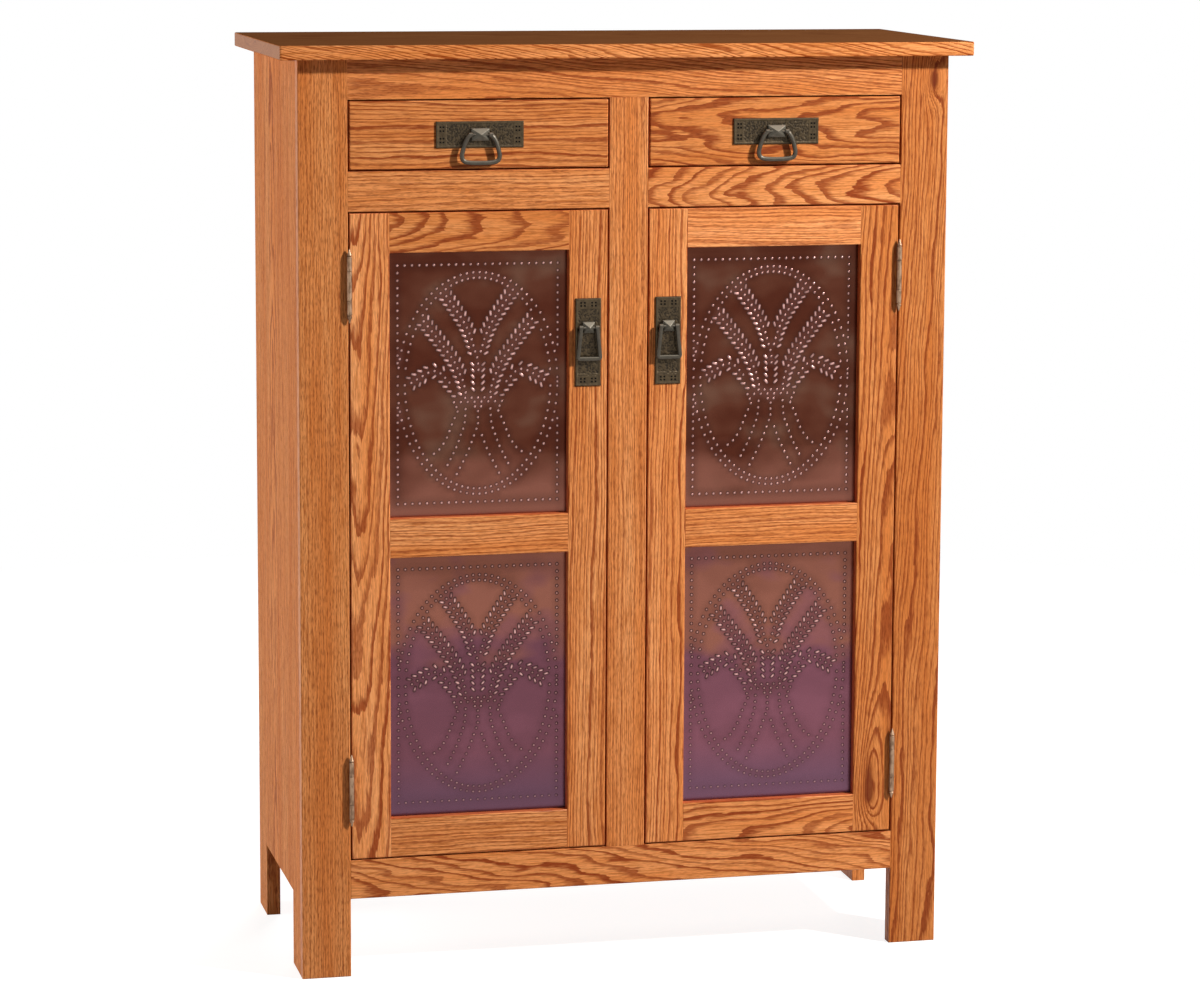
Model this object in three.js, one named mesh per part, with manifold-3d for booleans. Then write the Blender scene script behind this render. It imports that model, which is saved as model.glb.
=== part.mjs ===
import * as THREE from 'three';
import { mergeVertices } from 'three/addons/utils/BufferGeometryUtils.js';
import Module from 'manifold-3d';

// A pie safe: an oak food cupboard with two drawers over two doors, whose sunk panels are punched metal.
// Millimetres, z up. The floor is z = 0, the front looks along -y, and the origin is under the middle of
// the top board.

// Overall sizes of the case
const height = 1251;
const bodyWidth = 889;
const bodyDepth = 395;
const boardThickness = 19;
const topThickness = 19;
const topOverhang = 27;
const topCornerRadius = 3;
const arrisRadius = 1.5;

// Face frame
const postWidth = 66;
const centreStileWidth = 53;
const topRailHeight = 53;
const drawerOpeningHeight = 94;
const drawerRailHeight = 53;
const bottomRailHeight = 53;
const floorGap = 107;

// Legs cut out of the side boards
const frontLegDepth = 81;
const backLegDepth = 68;
const sideArchHeight = 102;

// Boards inside the case
const backThickness = 6;
const backRabbet = 9.5;
const dadoDepth = 6;
const shelfSetback = 15;
const shelfNames = ['lower_shelf', 'upper_shelf'];
const stopRailOverlap = 12;
const guideHeight = 25;
const guideToeReach = 20;

// Joints in the wood
const tenonThickness = 7;
const tenonLength = 22;
const tenonShoulder = 8;
const glueGap = 0.05;
const slideGap = 0.5;
const overrun = 1;
const mergeTolerance = 0.0001;

// Doors
const doorGap = 2;
const doorThickness = 18.5;
const doorMemberWidth = 53;
const tinRecess = 12.5;
const tinThickness = 0.8;
const kerfDepth = 7;
const kerfGap = 0.3;
const kerfEdgeGap = 1;

// Punched panels: a wheat sheaf in an oval, inside a border of dots. Each mark is pushed out from behind
// as a three-sided point, its length and width are those of the oval round its base, and the marks are
// fewer and stand wider apart than on the real sheet
const borderInsetX = 12.4;
const borderInsetZ = 17.8;
const borderSpacing = 30;
const ovalInsetX = 17;
const ovalInsetZ = 32.25;
const ovalSpacing = 24;
const stemSpacing = 18;
const bandSpacing = 17;
const grainSpacing = 13.5;
const grainReach = 7.8;
const grainLength = 10;
const grainWidth = 3.8;
const grainAngle = 42;
const dotWidth = 4.6;
const punchRise = 1.1;
const punchRoot = 0.4;
const punchSides = 3;
// Each ear's middle line from its root to its tip, and how far up its inner row of grains starts: shares
// of the oval's half width and half height, for the left half of the sheaf
const innerEarShares = [
  [0, -0.05], [0, 0.19], [-0.04, 0.31], [-0.09, 0.43], [-0.18, 0.56], [-0.29, 0.69], [-0.41, 0.81],
];
const middleEarShares = [
  [-0.16, -0.08], [-0.19, 0.02], [-0.25, 0.11], [-0.31, 0.21], [-0.43, 0.34], [-0.56, 0.46], [-0.7, 0.58],
];
const droopingEarShares = [
  [-0.26, -0.08], [-0.38, 0.02], [-0.49, 0.1], [-0.59, 0.12], [-0.73, 0.08], [-0.86, 0.02],
];
const innerRowStartShare = 0.55;
// The stems under the band that ties the sheaf, in the same shares
const outerStemShares = [[-0.29, -0.27], [-0.34, -0.38], [-0.41, -0.5], [-0.5, -0.6], [-0.57, -0.64]];
const middleStemShares = [[-0.165, -0.27], [-0.18, -0.37], [-0.22, -0.46], [-0.28, -0.59], [-0.4, -0.74]];
const centreStemShares = [[0, -0.27], [0, -0.38]];
const forkedStemShares = [[-0.03, -0.44], [-0.065, -0.51], [-0.14, -0.64], [-0.28, -0.83]];
const bandRowShares = [[0.33, -0.13], [0.28, -0.2]];

// Hinges: three knuckles, the middle one twice as long, with a pointed finial at each end
const hingeLength = 77;
const hingeInset = 95;
const barrelRadius = 3.5;
const barrelProud = 4;
const pinRadius = 1.6;
const pinClearance = 0.4;
const knuckleGap = 0.4;
const leafThickness = 1.6;
const leafDepth = 14;
const leafStart = 3.8;
const endKnuckleShare = 0.25;
const collarHeight = 2.5;
const collarWaistRadius = 2.4;
const coneHeight = 8.5;
const coneTipRadius = 0.4;
const roundSides = 12;

// Drawers
const drawerFrontThickness = 19;
const drawerSideThickness = 12;
const drawerSideHeight = 80;
const drawerBackGap = 20;
const drawerSideInset = 2;
const drawerLap = 7;
const drawerBottomThickness = 6;
const drawerBottomHeight = 9;
const drawerGrooveDepth = 6;
const drawerGrooveGap = 0.3;
const drawerBackInset = 8;

// Pulls: a bordered plate, a pyramid boss, and a bail that turns on a pin through the boss
const plateLength = 118;
const plateWidth = 35;
const plateThickness = 2.5;
const plateBevel = 1.2;
const plateBorder = 4;
const plateFieldDepth = 0.6;
const bossHeight = 10;
const drawerBossWidth = 25;
const drawerBossDepth = 16.5;
const doorBossWidth = 17;
const doorBossDepth = 15;
const doorBossRise = 20;
const doorPullDrop = 177;
const bailPivotProud = 7.5;
const bailPinRadius = 1.5;
const bailBoreRadius = 1.9;
const bailPinReach = 3;
const bailWireRadius = 3.1;
const bailEyeRadius = 3.1;
const drawerBailHalfWidth = 25.3;
const drawerBailDrop = 37.2;
const doorBailHalfWidth = 15.4;
const doorBailDrop = 41.6;
const wireSides = 8;
const eyeRings = 6;
const wireSteps = 24;
// Half of each bail from its pin to the middle of its grip: shares of the half width and of the drop
const drawerBailShares = [
  [0.54, 0], [0.68, 0.1], [0.84, 0.31], [0.96, 0.58], [1, 0.76], [0.9, 0.92], [0.6, 0.985], [0, 1],
];
const doorBailShares = [
  [0.72, 0], [0.78, 0.2], [0.89, 0.58], [0.985, 0.9], [0.97, 0.975], [0.86, 0.998], [0.4, 1], [0, 1],
];

// Levels and places that follow from the sizes above
const topDepth = bodyDepth + topOverhang;
const backFace = topDepth / 2;
const frontFace = backFace - bodyDepth;
const frameBack = frontFace + boardThickness;
const backPanelFront = backFace - backThickness;
const halfBody = bodyWidth / 2;
const sideInner = halfBody - boardThickness;
const postInner = halfBody - postWidth;
const centreHalf = centreStileWidth / 2;
const openingWidth = postInner - centreHalf;
const caseTop = height - topThickness;
const drawerOpeningTop = caseTop - topRailHeight;
const drawerOpeningBottom = drawerOpeningTop - drawerOpeningHeight;
const doorOpeningTop = drawerOpeningBottom - drawerRailHeight;
const drawerRailBand = [doorOpeningTop, drawerOpeningBottom];
const doorOpeningBottom = floorGap + bottomRailHeight;
const floorTop = doorOpeningBottom;
const deckBottom = drawerOpeningBottom - boardThickness;
const doorWidth = openingWidth - 2 * doorGap;
const doorBottom = doorOpeningBottom + doorGap;
const doorHeight = doorOpeningTop - doorGap - doorBottom;
const tinSightWidth = doorWidth - 2 * doorMemberWidth;
const tinSightHeight = (doorHeight - 3 * doorMemberWidth) / 2;
const ovalHalfWidth = tinSightWidth / 2 - ovalInsetX;
const ovalHalfHeight = tinSightHeight / 2 - ovalInsetZ;
const middleRailBottom = doorMemberWidth + tinSightHeight;
const drawerFrontHeight = drawerOpeningHeight - 2 * doorGap;
const drawerBoxLength = backPanelFront - drawerBackGap - frontFace - drawerFrontThickness;
const drawerBottomLevel = slideGap - doorGap;

const oak = new THREE.MeshStandardMaterial({ color: 0xc9803f, roughness: 0.45 });
const oakInside = new THREE.MeshStandardMaterial({ color: 0xc99a62, roughness: 0.6 });
const copper = new THREE.MeshStandardMaterial({ color: 0x6e4438, roughness: 0.35, metalness: 0.9 });
const darkIron = new THREE.MeshStandardMaterial({ color: 0x4a443b, roughness: 0.5, metalness: 0.8 });
const antiqueNickel = new THREE.MeshStandardMaterial({ color: 0x9a8270, roughness: 0.35, metalness: 0.9 });

const wasm = await Module();
wasm.setup();

/** Turns a closed geometry into a solid that can be joined and cut. */
function solidOf(geometry) {
  const bare = geometry.clone();
  bare.deleteAttribute('normal');
  bare.deleteAttribute('uv');
  const merged = mergeVertices(bare, mergeTolerance);
  return new wasm.Manifold(new wasm.Mesh({
    numProp: 3,
    vertProperties: new Float32Array(merged.attributes.position.array),
    triVerts: new Uint32Array(merged.index.array),
  }));
}

/** Turns a solid back into a geometry. */
function geometryOf(solid) {
  const { vertProperties, triVerts, numProp } = solid.getMesh();
  const positions = new Float32Array((vertProperties.length / numProp) * 3);
  for (let i = 0; i < positions.length / 3; i += 1) {
    positions.set(vertProperties.subarray(i * numProp, i * numProp + 3), i * 3);
  }
  const geometry = new THREE.BufferGeometry();
  geometry.setAttribute('position', new THREE.BufferAttribute(positions, 3));
  geometry.setIndex(new THREE.BufferAttribute(new Uint32Array(triVerts), 1));
  const flat = geometry.toNonIndexed();
  flat.computeVertexNormals();
  return flat;
}

/** Joins the first geometries and cuts the others out of them. */
function carve(joined, waste = []) {
  let solid = solidOf(joined[0]);
  for (const piece of joined.slice(1)) solid = solid.add(solidOf(piece));
  for (const piece of waste) solid = solid.subtract(solidOf(piece));
  return geometryOf(solid);
}

/** A box between two values on each axis. */
function block([x0, x1], [y0, y1], [z0, z1]) {
  const box = new THREE.BoxGeometry(x1 - x0, y1 - y0, z1 - z0);
  return box.translate((x0 + x1) / 2, (y0 + y1) / 2, (z0 + z1) / 2);
}

/** The same range, longer by a gap at both ends. */
function grown([from, to], gap) {
  return [from - gap, to + gap];
}

/** A range between two values, whichever is the lower. */
function span(a, b) {
  return [Math.min(a, b), Math.max(a, b)];
}

const alongX = new THREE.Vector3(1, 0, 0);
const alongY = new THREE.Vector3(0, 1, 0);
const alongZ = new THREE.Vector3(0, 0, 1);

/** Axes that a profile's two directions and its length follow when it runs along x, y or z. */
const runs = {
  x: new THREE.Matrix4().makeBasis(alongY, alongZ, alongX),
  y: new THREE.Matrix4().makeBasis(alongZ, alongX, alongY),
  z: new THREE.Matrix4(),
};

/** A profile pushed along an axis. It is drawn in y and z to go along x, in z and x for y, x and y for z. */
function pushed(points, along, length) {
  const shape = new THREE.Shape(points.map(([u, v]) => new THREE.Vector2(u, v)));
  const geometry = new THREE.ExtrudeGeometry(shape, { depth: length, bevelEnabled: false });
  return geometry.applyMatrix4(runs[along]);
}

/** What a roundover takes off one square arris that runs along an axis between two values. */
function arris(along, [u, v], [uSign, vSign], [from, to]) {
  const r = arrisRadius;
  const shape = new THREE.Shape();
  shape.moveTo(-overrun, -overrun);
  shape.lineTo(r, -overrun);
  shape.lineTo(r, 0);
  shape.absarc(r, r, r, -Math.PI / 2, -Math.PI, true);
  shape.lineTo(-overrun, r);
  const turn = { '1,1': 0, '-1,1': 1, '-1,-1': 2, '1,-1': 3 }[`${uSign},${vSign}`];
  const settings = { depth: to - from, bevelEnabled: false, curveSegments: 1 };
  return new THREE.ExtrudeGeometry(shape, settings)
    .rotateZ((turn * Math.PI) / 2).translate(u, v, from).applyMatrix4(runs[along]);
}

/** A named mesh at its place. */
function mesh(name, geometry, material, x, y, z) {
  const part = new THREE.Mesh(geometry, material);
  part.name = name;
  part.position.set(x, y, z);
  return part;
}

/** The right-hand twin of a left-hand mesh or group, mirrored about x = 0. */
function twin(left) {
  if (left.isGroup) {
    const group = new THREE.Group();
    group.position.set(-left.position.x, left.position.y, left.position.z);
    for (const child of left.children) group.add(twin(child));
    return group;
  }
  const geometry = left.geometry.index ? left.geometry.toNonIndexed() : left.geometry.clone();
  geometry.scale(-1, 1, 1);
  const { array } = geometry.attributes.position;
  for (let i = 0; i < array.length; i += 9) {
    for (let axis = 0; axis < 3; axis += 1) {
      [array[i + 3 + axis], array[i + 6 + axis]] = [array[i + 6 + axis], array[i + 3 + axis]];
    }
  }
  geometry.deleteAttribute('uv');
  geometry.computeVertexNormals();
  const { x, y, z } = left.position;
  return mesh(left.name.replace('left', 'right'), geometry, left.material, -x, y, z);
}

/** The tenon on one end of a rail, or with a gap the mortise that takes it. The rail lies along x. */
function tenon(end, direction, [z0, z1], thickness, gap = 0) {
  const middle = thickness / 2;
  return block(
    span(end - direction * overrun, end + direction * (tenonLength + gap)),
    grown([middle - tenonThickness / 2, middle + tenonThickness / 2], gap),
    grown([z0 + tenonShoulder, z1 - tenonShoulder], gap),
  );
}

/** The same for an upright member, whose tenon points up or down. */
function uprightTenon(end, direction, [x0, x1], thickness, gap = 0) {
  const middle = thickness / 2;
  return block(
    grown([x0 + tenonShoulder, x1 - tenonShoulder], gap),
    grown([middle - tenonThickness / 2, middle + tenonThickness / 2], gap),
    span(end - direction * overrun, end + direction * (tenonLength + gap)),
  );
}

/** The top board, with all its arrises rounded. */
function topBoard() {
  const width = bodyWidth + 2 * topOverhang;
  const r = topCornerRadius - arrisRadius;
  const [a, b] = [width / 2 - arrisRadius, topDepth / 2 - arrisRadius];
  const shape = new THREE.Shape();
  shape.moveTo(-a + r, -b);
  shape.lineTo(a - r, -b);
  shape.absarc(a - r, -b + r, r, -Math.PI / 2, 0);
  shape.lineTo(a, b - r);
  shape.absarc(a - r, b - r, r, 0, Math.PI / 2);
  shape.lineTo(-a + r, b);
  shape.absarc(-a + r, b - r, r, Math.PI / 2, Math.PI);
  shape.lineTo(-a, -b + r);
  shape.absarc(-a + r, -b + r, r, Math.PI, Math.PI * 1.5);
  const geometry = new THREE.ExtrudeGeometry(shape, {
    depth: topThickness - 2 * arrisRadius,
    bevelThickness: arrisRadius,
    bevelSize: arrisRadius,
    bevelSegments: 2,
    curveSegments: 1,
  });
  return mesh('top_board', geometry, oak, 0, 0, caseTop + arrisRadius);
}

/** The clear height between two neighbouring boards in the cupboard. */
const bayHeight = (deckBottom - floorTop - shelfNames.length * boardThickness) / (shelfNames.length + 1);

/** The underside of each shelf, and of every board that lies in the sides' dadoes. */
const shelfLevels = shelfNames.map((name, i) => floorTop + (i + 1) * bayHeight + i * boardThickness);
const dadoLevels = [floorTop - boardThickness, ...shelfLevels, deckBottom];

/** A side board: its two legs, the dadoes across it and the rabbet for the back. */
function leftSide() {
  const depth = backFace - frameBack;
  const outline = [
    [0, 0], [frontLegDepth - boardThickness, 0], [frontLegDepth - boardThickness, sideArchHeight],
    [depth - backLegDepth, sideArchHeight], [depth - backLegDepth, 0],
    [depth, 0], [depth, caseTop], [0, caseTop],
  ];
  const inner = [boardThickness - dadoDepth - glueGap, boardThickness + overrun];
  const waste = dadoLevels.map((level) => block(inner, grown([0, depth], overrun),
    grown([level, level + boardThickness], glueGap)));
  waste.push(block([boardThickness - backRabbet - glueGap, boardThickness + overrun],
    [depth - backThickness - glueGap, depth + overrun],
    [dadoLevels[0] - glueGap, caseTop + overrun]));
  const board = pushed(outline, 'x', boardThickness);
  return mesh('left_side', carve([board], waste), oak, -halfBody, frameBack, 0);
}

/** A front post: it runs from the floor to the top and takes the tenons of the rails on its inner edge. */
function leftPost() {
  const length = caseTop;
  const waste = [
    tenon(postWidth, -1, [floorGap, doorOpeningBottom], boardThickness, glueGap),
    tenon(postWidth, -1, drawerRailBand, boardThickness, glueGap),
    tenon(postWidth, -1, [drawerOpeningTop, caseTop], boardThickness, glueGap),
    arris('z', [0, 0], [1, 1], grown([0, length], overrun)),
    arris('z', [postWidth, 0], [-1, 1], [-overrun, floorGap]),
    arris('z', [postWidth, 0], [-1, 1], [doorOpeningBottom, doorOpeningTop]),
    arris('z', [postWidth, 0], [-1, 1], [drawerOpeningBottom, drawerOpeningTop]),
    arris('x', [0, 0], [1, 1], grown([0, postWidth], overrun)),
    ...hingePockets(postWidth, -1),
  ];
  return mesh('left_post', carve([block([0, postWidth], [0, boardThickness], [0, length])], waste),
    oak, -halfBody, frontFace, 0);
}

/** The two pockets for the hinge leaves in a post or, seen from its own side, in a door stile. */
function hingePockets(edge, direction, bottom = doorBottom) {
  const front = leafStart - barrelProud;
  return [bottom + hingeInset, bottom + doorHeight - hingeInset].map((middle) => block(
    span(edge - direction * overrun, edge + direction * (leafThickness + glueGap)),
    [-overrun, front + leafDepth + glueGap],
    grown([middle - hingeLength / 2, middle + hingeLength / 2], glueGap),
  ));
}

/** A rail of the face frame between two x values, with a tenon at each end. */
function frameRail(name, [x0, x1], [z0, z1], easedEdges, mortises = []) {
  const length = x1 - x0 - 2 * glueGap;
  const rail = z1 - z0;
  const waste = [...mortises];
  if (easedEdges.includes('top')) waste.push(arris('x', [0, rail], [1, -1], grown([0, length], overrun)));
  if (easedEdges.includes('bottom')) waste.push(arris('x', [0, 0], [1, 1], grown([0, length], overrun)));
  const tenons = [tenon(0, -1, [0, rail], boardThickness), tenon(length, 1, [0, rail], boardThickness)];
  const geometry = carve([carve([block([0, length], [0, boardThickness], [0, rail])], waste), ...tenons]);
  return mesh(name, geometry, oak, x0 + glueGap, frontFace, z0);
}

/** The upright between the doors and between the drawers, tenoned into the top and bottom rails. */
function centreStile() {
  const length = drawerOpeningTop - doorOpeningBottom - 2 * glueGap;
  const base = doorOpeningBottom + glueGap;
  const railBand = [doorOpeningTop - base, drawerOpeningBottom - base];
  const waste = [
    tenon(0, 1, railBand, boardThickness, glueGap),
    tenon(centreStileWidth, -1, railBand, boardThickness, glueGap),
  ];
  for (const [u, sign] of [[0, 1], [centreStileWidth, -1]]) {
    waste.push(arris('z', [u, 0], [sign, 1], [0, railBand[0]]));
    waste.push(arris('z', [u, 0], [sign, 1], [railBand[1], length]));
  }
  const body = carve([block([0, centreStileWidth], [0, boardThickness], [0, length])], waste);
  const geometry = carve([
    body,
    uprightTenon(0, -1, [0, centreStileWidth], boardThickness),
    uprightTenon(length, 1, [0, centreStileWidth], boardThickness),
  ]);
  return mesh('centre_stile', geometry, oak, -centreHalf, frontFace, base);
}

/** A horizontal board that lies in the dadoes of both sides. */
function dadoBoard(name, level, setback) {
  const reach = sideInner + dadoDepth;
  const depth = backPanelFront - frameBack - setback - 2 * glueGap;
  return mesh(name, block([-reach, reach], [0, depth], [0, boardThickness]),
    oakInside, 0, frameBack + setback + glueGap, level);
}

/** The thin back, let into the rabbets of the sides. */
function backPanel() {
  const reach = sideInner + backRabbet;
  const rise = caseTop - glueGap - dadoLevels[0];
  return mesh('back_panel', block([-reach, reach], [0, backThickness], [0, rise]),
    oakInside, 0, backPanelFront, dadoLevels[0]);
}

/** The wall between the drawers, on a foot that guides both of them. */
function drawerDivider() {
  const web = boardThickness / 2;
  const foot = centreHalf + doorGap + drawerSideInset - slideGap;
  const rise = caseTop - glueGap - drawerOpeningBottom - glueGap;
  const outline = [
    [0, -foot], [guideHeight, -foot], [guideHeight, -web], [rise, -web],
    [rise, web], [guideHeight, web], [guideHeight, foot], [0, foot],
  ];
  return mesh('drawer_divider', pushed(outline, 'y', backPanelFront - frameBack - 2 * glueGap),
    oakInside, 0, frameBack + glueGap, drawerOpeningBottom + glueGap);
}

/** The strip that guides a drawer's outer side, with a toe from the back that stops the drawer. */
function leftDrawerGuide() {
  const width = sideInner - postInner + doorGap + drawerSideInset - slideGap - glueGap;
  const depth = backPanelFront - frameBack - 2 * glueGap;
  const toeStart = depth + glueGap - drawerBackGap + slideGap;
  const outline = [
    [0, 0], [width, 0], [width, toeStart], [width + guideToeReach, toeStart],
    [width + guideToeReach, depth], [0, depth],
  ];
  return mesh('left_drawer_guide', pushed(outline, 'z', guideHeight),
    oakInside, -sideInner + glueGap, frameBack + glueGap, drawerOpeningBottom + glueGap);
}

/** The rail behind the drawer rails that hangs down far enough to stop the doors. */
function doorStopRail() {
  const level = doorOpeningTop - stopRailOverlap;
  const across = grown([-sideInner, sideInner], -glueGap);
  return mesh('door_stop_rail', block(across, [0, boardThickness], [0, deckBottom - glueGap - level]),
    oakInside, 0, frameBack + glueGap, level);
}

/** The saw kerf along a door member's inner edge, in which the punched panel sits. */
const kerf = [tinRecess - kerfGap, tinRecess + tinThickness + kerfGap];

/** A door stile between two distances from the hinge axis. It runs the full height of the door. */
function doorStile(name, [x0, x1], outerFirst) {
  const width = x1 - x0;
  const [outer, inner, inward] = outerFirst ? [0, width, -1] : [width, 0, 1];
  const railBands = [
    [0, doorMemberWidth],
    [middleRailBottom, middleRailBottom + doorMemberWidth],
    [doorHeight - doorMemberWidth, doorHeight],
  ];
  const kerfSpan = span(inner + inward * kerfDepth, inner - inward * overrun);
  const kerfRise = grown([doorMemberWidth, doorHeight - doorMemberWidth], kerfDepth);
  const waste = railBands.map((band) => tenon(inner, inward, band, doorThickness, glueGap));
  waste.push(
    block(kerfSpan, kerf, kerfRise),
    arris('z', [outer, 0], [-inward, 1], grown([0, doorHeight], overrun)),
    arris('x', [0, 0], [1, 1], grown([0, width], overrun)),
    arris('x', [0, doorHeight], [1, -1], grown([0, width], overrun)),
  );
  for (let i = 0; i < railBands.length - 1; i += 1) {
    waste.push(arris('z', [inner, 0], [inward, 1], [railBands[i][1], railBands[i + 1][0]]));
  }
  if (outerFirst) waste.push(...hingePockets(0, 1, 0));
  const board = block([0, width], [0, doorThickness], [0, doorHeight]);
  return mesh(name, carve([board], waste), oak, x0, barrelProud, 0);
}

/** A door rail, with a tenon at each end, and kerfs and rounded arrises on the edges that it is given. */
function doorRail(name, bottom, kerfEdges, easedEdges) {
  const length = tinSightWidth - 2 * glueGap;
  const across = grown([0, length], overrun);
  const waste = [];
  if (kerfEdges.includes('top')) {
    waste.push(block(across, kerf, [doorMemberWidth - kerfDepth, doorMemberWidth + overrun]));
  }
  if (kerfEdges.includes('bottom')) waste.push(block(across, kerf, [-overrun, kerfDepth]));
  if (easedEdges.includes('top')) waste.push(arris('x', [0, doorMemberWidth], [1, -1], across));
  if (easedEdges.includes('bottom')) waste.push(arris('x', [0, 0], [1, 1], across));
  const body = carve([block([0, length], [0, doorThickness], [0, doorMemberWidth])], waste);
  const geometry = carve([
    body,
    tenon(0, -1, [0, doorMemberWidth], doorThickness),
    tenon(length, 1, [0, doorMemberWidth], doorThickness),
  ]);
  return mesh(name, geometry, oak, doorGap / 2 + doorMemberWidth + glueGap, barrelProud, bottom);
}

/** A dot of the punched pattern. */
function dot(x, z) {
  return { x, z, turn: 0, length: dotWidth, width: dotWidth };
}

/** Even steps along a smooth line through shares of the oval, each with the way that the line heads. */
function stepsAlong(shares, spacing) {
  const points = shares.map(([u, v]) => new THREE.Vector3(u * ovalHalfWidth, 0, v * ovalHalfHeight));
  const line = new THREE.CatmullRomCurve3(points, false, 'centripetal');
  const count = Math.max(1, Math.round(line.getLength() / spacing));
  return Array.from({ length: count + 1 }, (_, i) => {
    const { x, z } = line.getPointAt(i / count);
    const heading = line.getTangentAt(i / count);
    return { x, z, heading: Math.atan2(heading.z, heading.x), share: i / count };
  });
}

/** An ear of wheat: a row of slanting grains on each side of its middle line. */
function ear(shares, innerRowStart) {
  const marks = [];
  for (const { x, z, heading, share } of stepsAlong(shares, grainSpacing)) {
    for (const side of share < innerRowStart ? [1] : [1, -1]) {
      const away = heading + (side * Math.PI) / 2;
      const turn = heading + side * THREE.MathUtils.degToRad(grainAngle);
      marks.push({
        x: x + grainReach * Math.cos(away),
        z: z + grainReach * Math.sin(away),
        turn,
        length: grainLength,
        width: grainWidth,
      });
    }
  }
  return marks;
}

/** A row of dots between two values of x, at one height. */
function dotRow([x0, x1], z, spacing) {
  const count = Math.round((x1 - x0) / spacing);
  return Array.from({ length: count + 1 }, (_, i) => dot(x0 + (i * (x1 - x0)) / count, z));
}

/** The border: dots at even steps along the four edges of a rectangle. */
function borderDots(halfWidth, halfHeight) {
  const level = dotRow([-halfWidth, halfWidth], 0, borderSpacing);
  const upright = dotRow([-halfHeight, halfHeight], 0, borderSpacing).slice(1, -1);
  return [halfHeight, -halfHeight].flatMap((z) => level.map(({ x }) => dot(x, z)))
    .concat([halfWidth, -halfWidth].flatMap((x) => upright.map((step) => dot(x, step.x))));
}

/** The oval: dots spaced evenly by the mean of its half axes. */
function ovalDots() {
  const count = Math.round((Math.PI * (ovalHalfWidth + ovalHalfHeight)) / ovalSpacing);
  return Array.from({ length: count }, (_, i) => {
    const angle = ((i + 1 / 2) / count) * 2 * Math.PI;
    return dot(ovalHalfWidth * Math.cos(angle), ovalHalfHeight * Math.sin(angle));
  });
}

/** Every mark of the pattern, about the middle of the panel. */
function punchedMarks() {
  const stems = [outerStemShares, middleStemShares, forkedStemShares]
    .flatMap((shares) => stepsAlong(shares, stemSpacing).map(({ x, z }) => dot(x, z)));
  const leftHalf = [
    ...ear(innerEarShares, innerRowStartShare),
    ...ear(middleEarShares, 0),
    ...ear(droopingEarShares, 0),
    ...stems,
  ];
  return [
    ...leftHalf,
    ...leftHalf.map((mark) => ({ ...mark, x: -mark.x, turn: Math.PI - mark.turn })),
    ...stepsAlong(centreStemShares, stemSpacing).map(({ x, z }) => dot(x, z)),
    ...bandRowShares.flatMap(([reach, level]) => dotRow([-reach * ovalHalfWidth, reach * ovalHalfWidth],
      level * ovalHalfHeight, bandSpacing)),
    ...ovalDots(),
    ...borderDots(tinSightWidth / 2 - borderInsetX, tinSightHeight / 2 - borderInsetZ),
  ];
}

/** The point that a mark stands for: it rises from inside the sheet, whose front is y = 0. */
function punchPoint({ x, z, turn, length, width }) {
  return new THREE.ConeGeometry(1, 1, punchSides).rotateX(Math.PI).rotateY(Math.PI / 2)
    .scale(length / 2, punchRise + punchRoot, width / 2).rotateY(-turn)
    .translate(x, (punchRoot - punchRise) / 2, z);
}

/** A punched sheet about the middle of its front, as wide and high as the kerfs allow. */
function punchedSheet() {
  const reach = kerfDepth - kerfEdgeGap;
  const across = grown([-tinSightWidth / 2, tinSightWidth / 2], reach);
  const upright = grown([-tinSightHeight / 2, tinSightHeight / 2], reach);
  return carve([block(across, [0, tinThickness], upright), ...punchedMarks().map(punchPoint)]);
}

/** A punched sheet in the middle of the frame opening above a level of the door. */
function tin(name, sheet, bottom) {
  return mesh(name, sheet, copper, doorGap / 2 + doorWidth / 2, barrelProud + tinRecess,
    bottom + tinSightHeight / 2);
}

/** A finial: a waisted collar under a pointed cone. It sits on z = 0 and points up or down. */
function finial(direction) {
  const outline = [
    [0, -overrun], [collarWaistRadius, -overrun], [collarWaistRadius, collarHeight / 2],
    [barrelRadius, collarHeight], [coneTipRadius, collarHeight + coneHeight], [0, collarHeight + coneHeight],
  ];
  const points = outline.map(([r, z]) => new THREE.Vector2(r, z));
  const geometry = new THREE.LatheGeometry(points, roundSides).rotateX(Math.PI / 2);
  return direction < 0 ? geometry.rotateX(Math.PI) : geometry;
}

const halfHinge = hingeLength / 2;
const middleKnuckle = halfHinge - endKnuckleShare * hingeLength;

/** The leaf plate let into the wood on one side of the gap, and its neck at each of its own knuckles. */
function leaf(direction, knuckles) {
  const across = span(direction * (doorGap / 2), direction * (doorGap / 2 + leafThickness));
  const plate = block(across, [leafStart, leafStart + leafDepth], [-halfHinge, halfHinge]);
  return [plate, ...knuckles.map((knuckle) => block(across, [0, leafStart + overrun], knuckle))];
}

/** A solid round bar along z between two levels. */
function bar(radius, [z0, z1]) {
  return new THREE.CylinderGeometry(radius, radius, z1 - z0, roundSides).rotateX(Math.PI / 2)
    .translate(0, 0, (z0 + z1) / 2);
}

/** The half of a hinge on the post: two end knuckles with the pin and both finials. */
function frameLeaf(name, middle) {
  const knuckles = [[middleKnuckle + knuckleGap, halfHinge], [-halfHinge, -middleKnuckle - knuckleGap]];
  const geometry = carve([
    ...leaf(-1, knuckles),
    ...knuckles.map((knuckle) => bar(barrelRadius, knuckle)),
    bar(pinRadius, grown([-halfHinge, halfHinge], -overrun)),
    finial(1).translate(0, 0, halfHinge),
    finial(-1).translate(0, 0, -halfHinge),
  ]);
  return mesh(name, geometry, antiqueNickel, -postInner + doorGap / 2, frontFace - barrelProud, middle);
}

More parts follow.
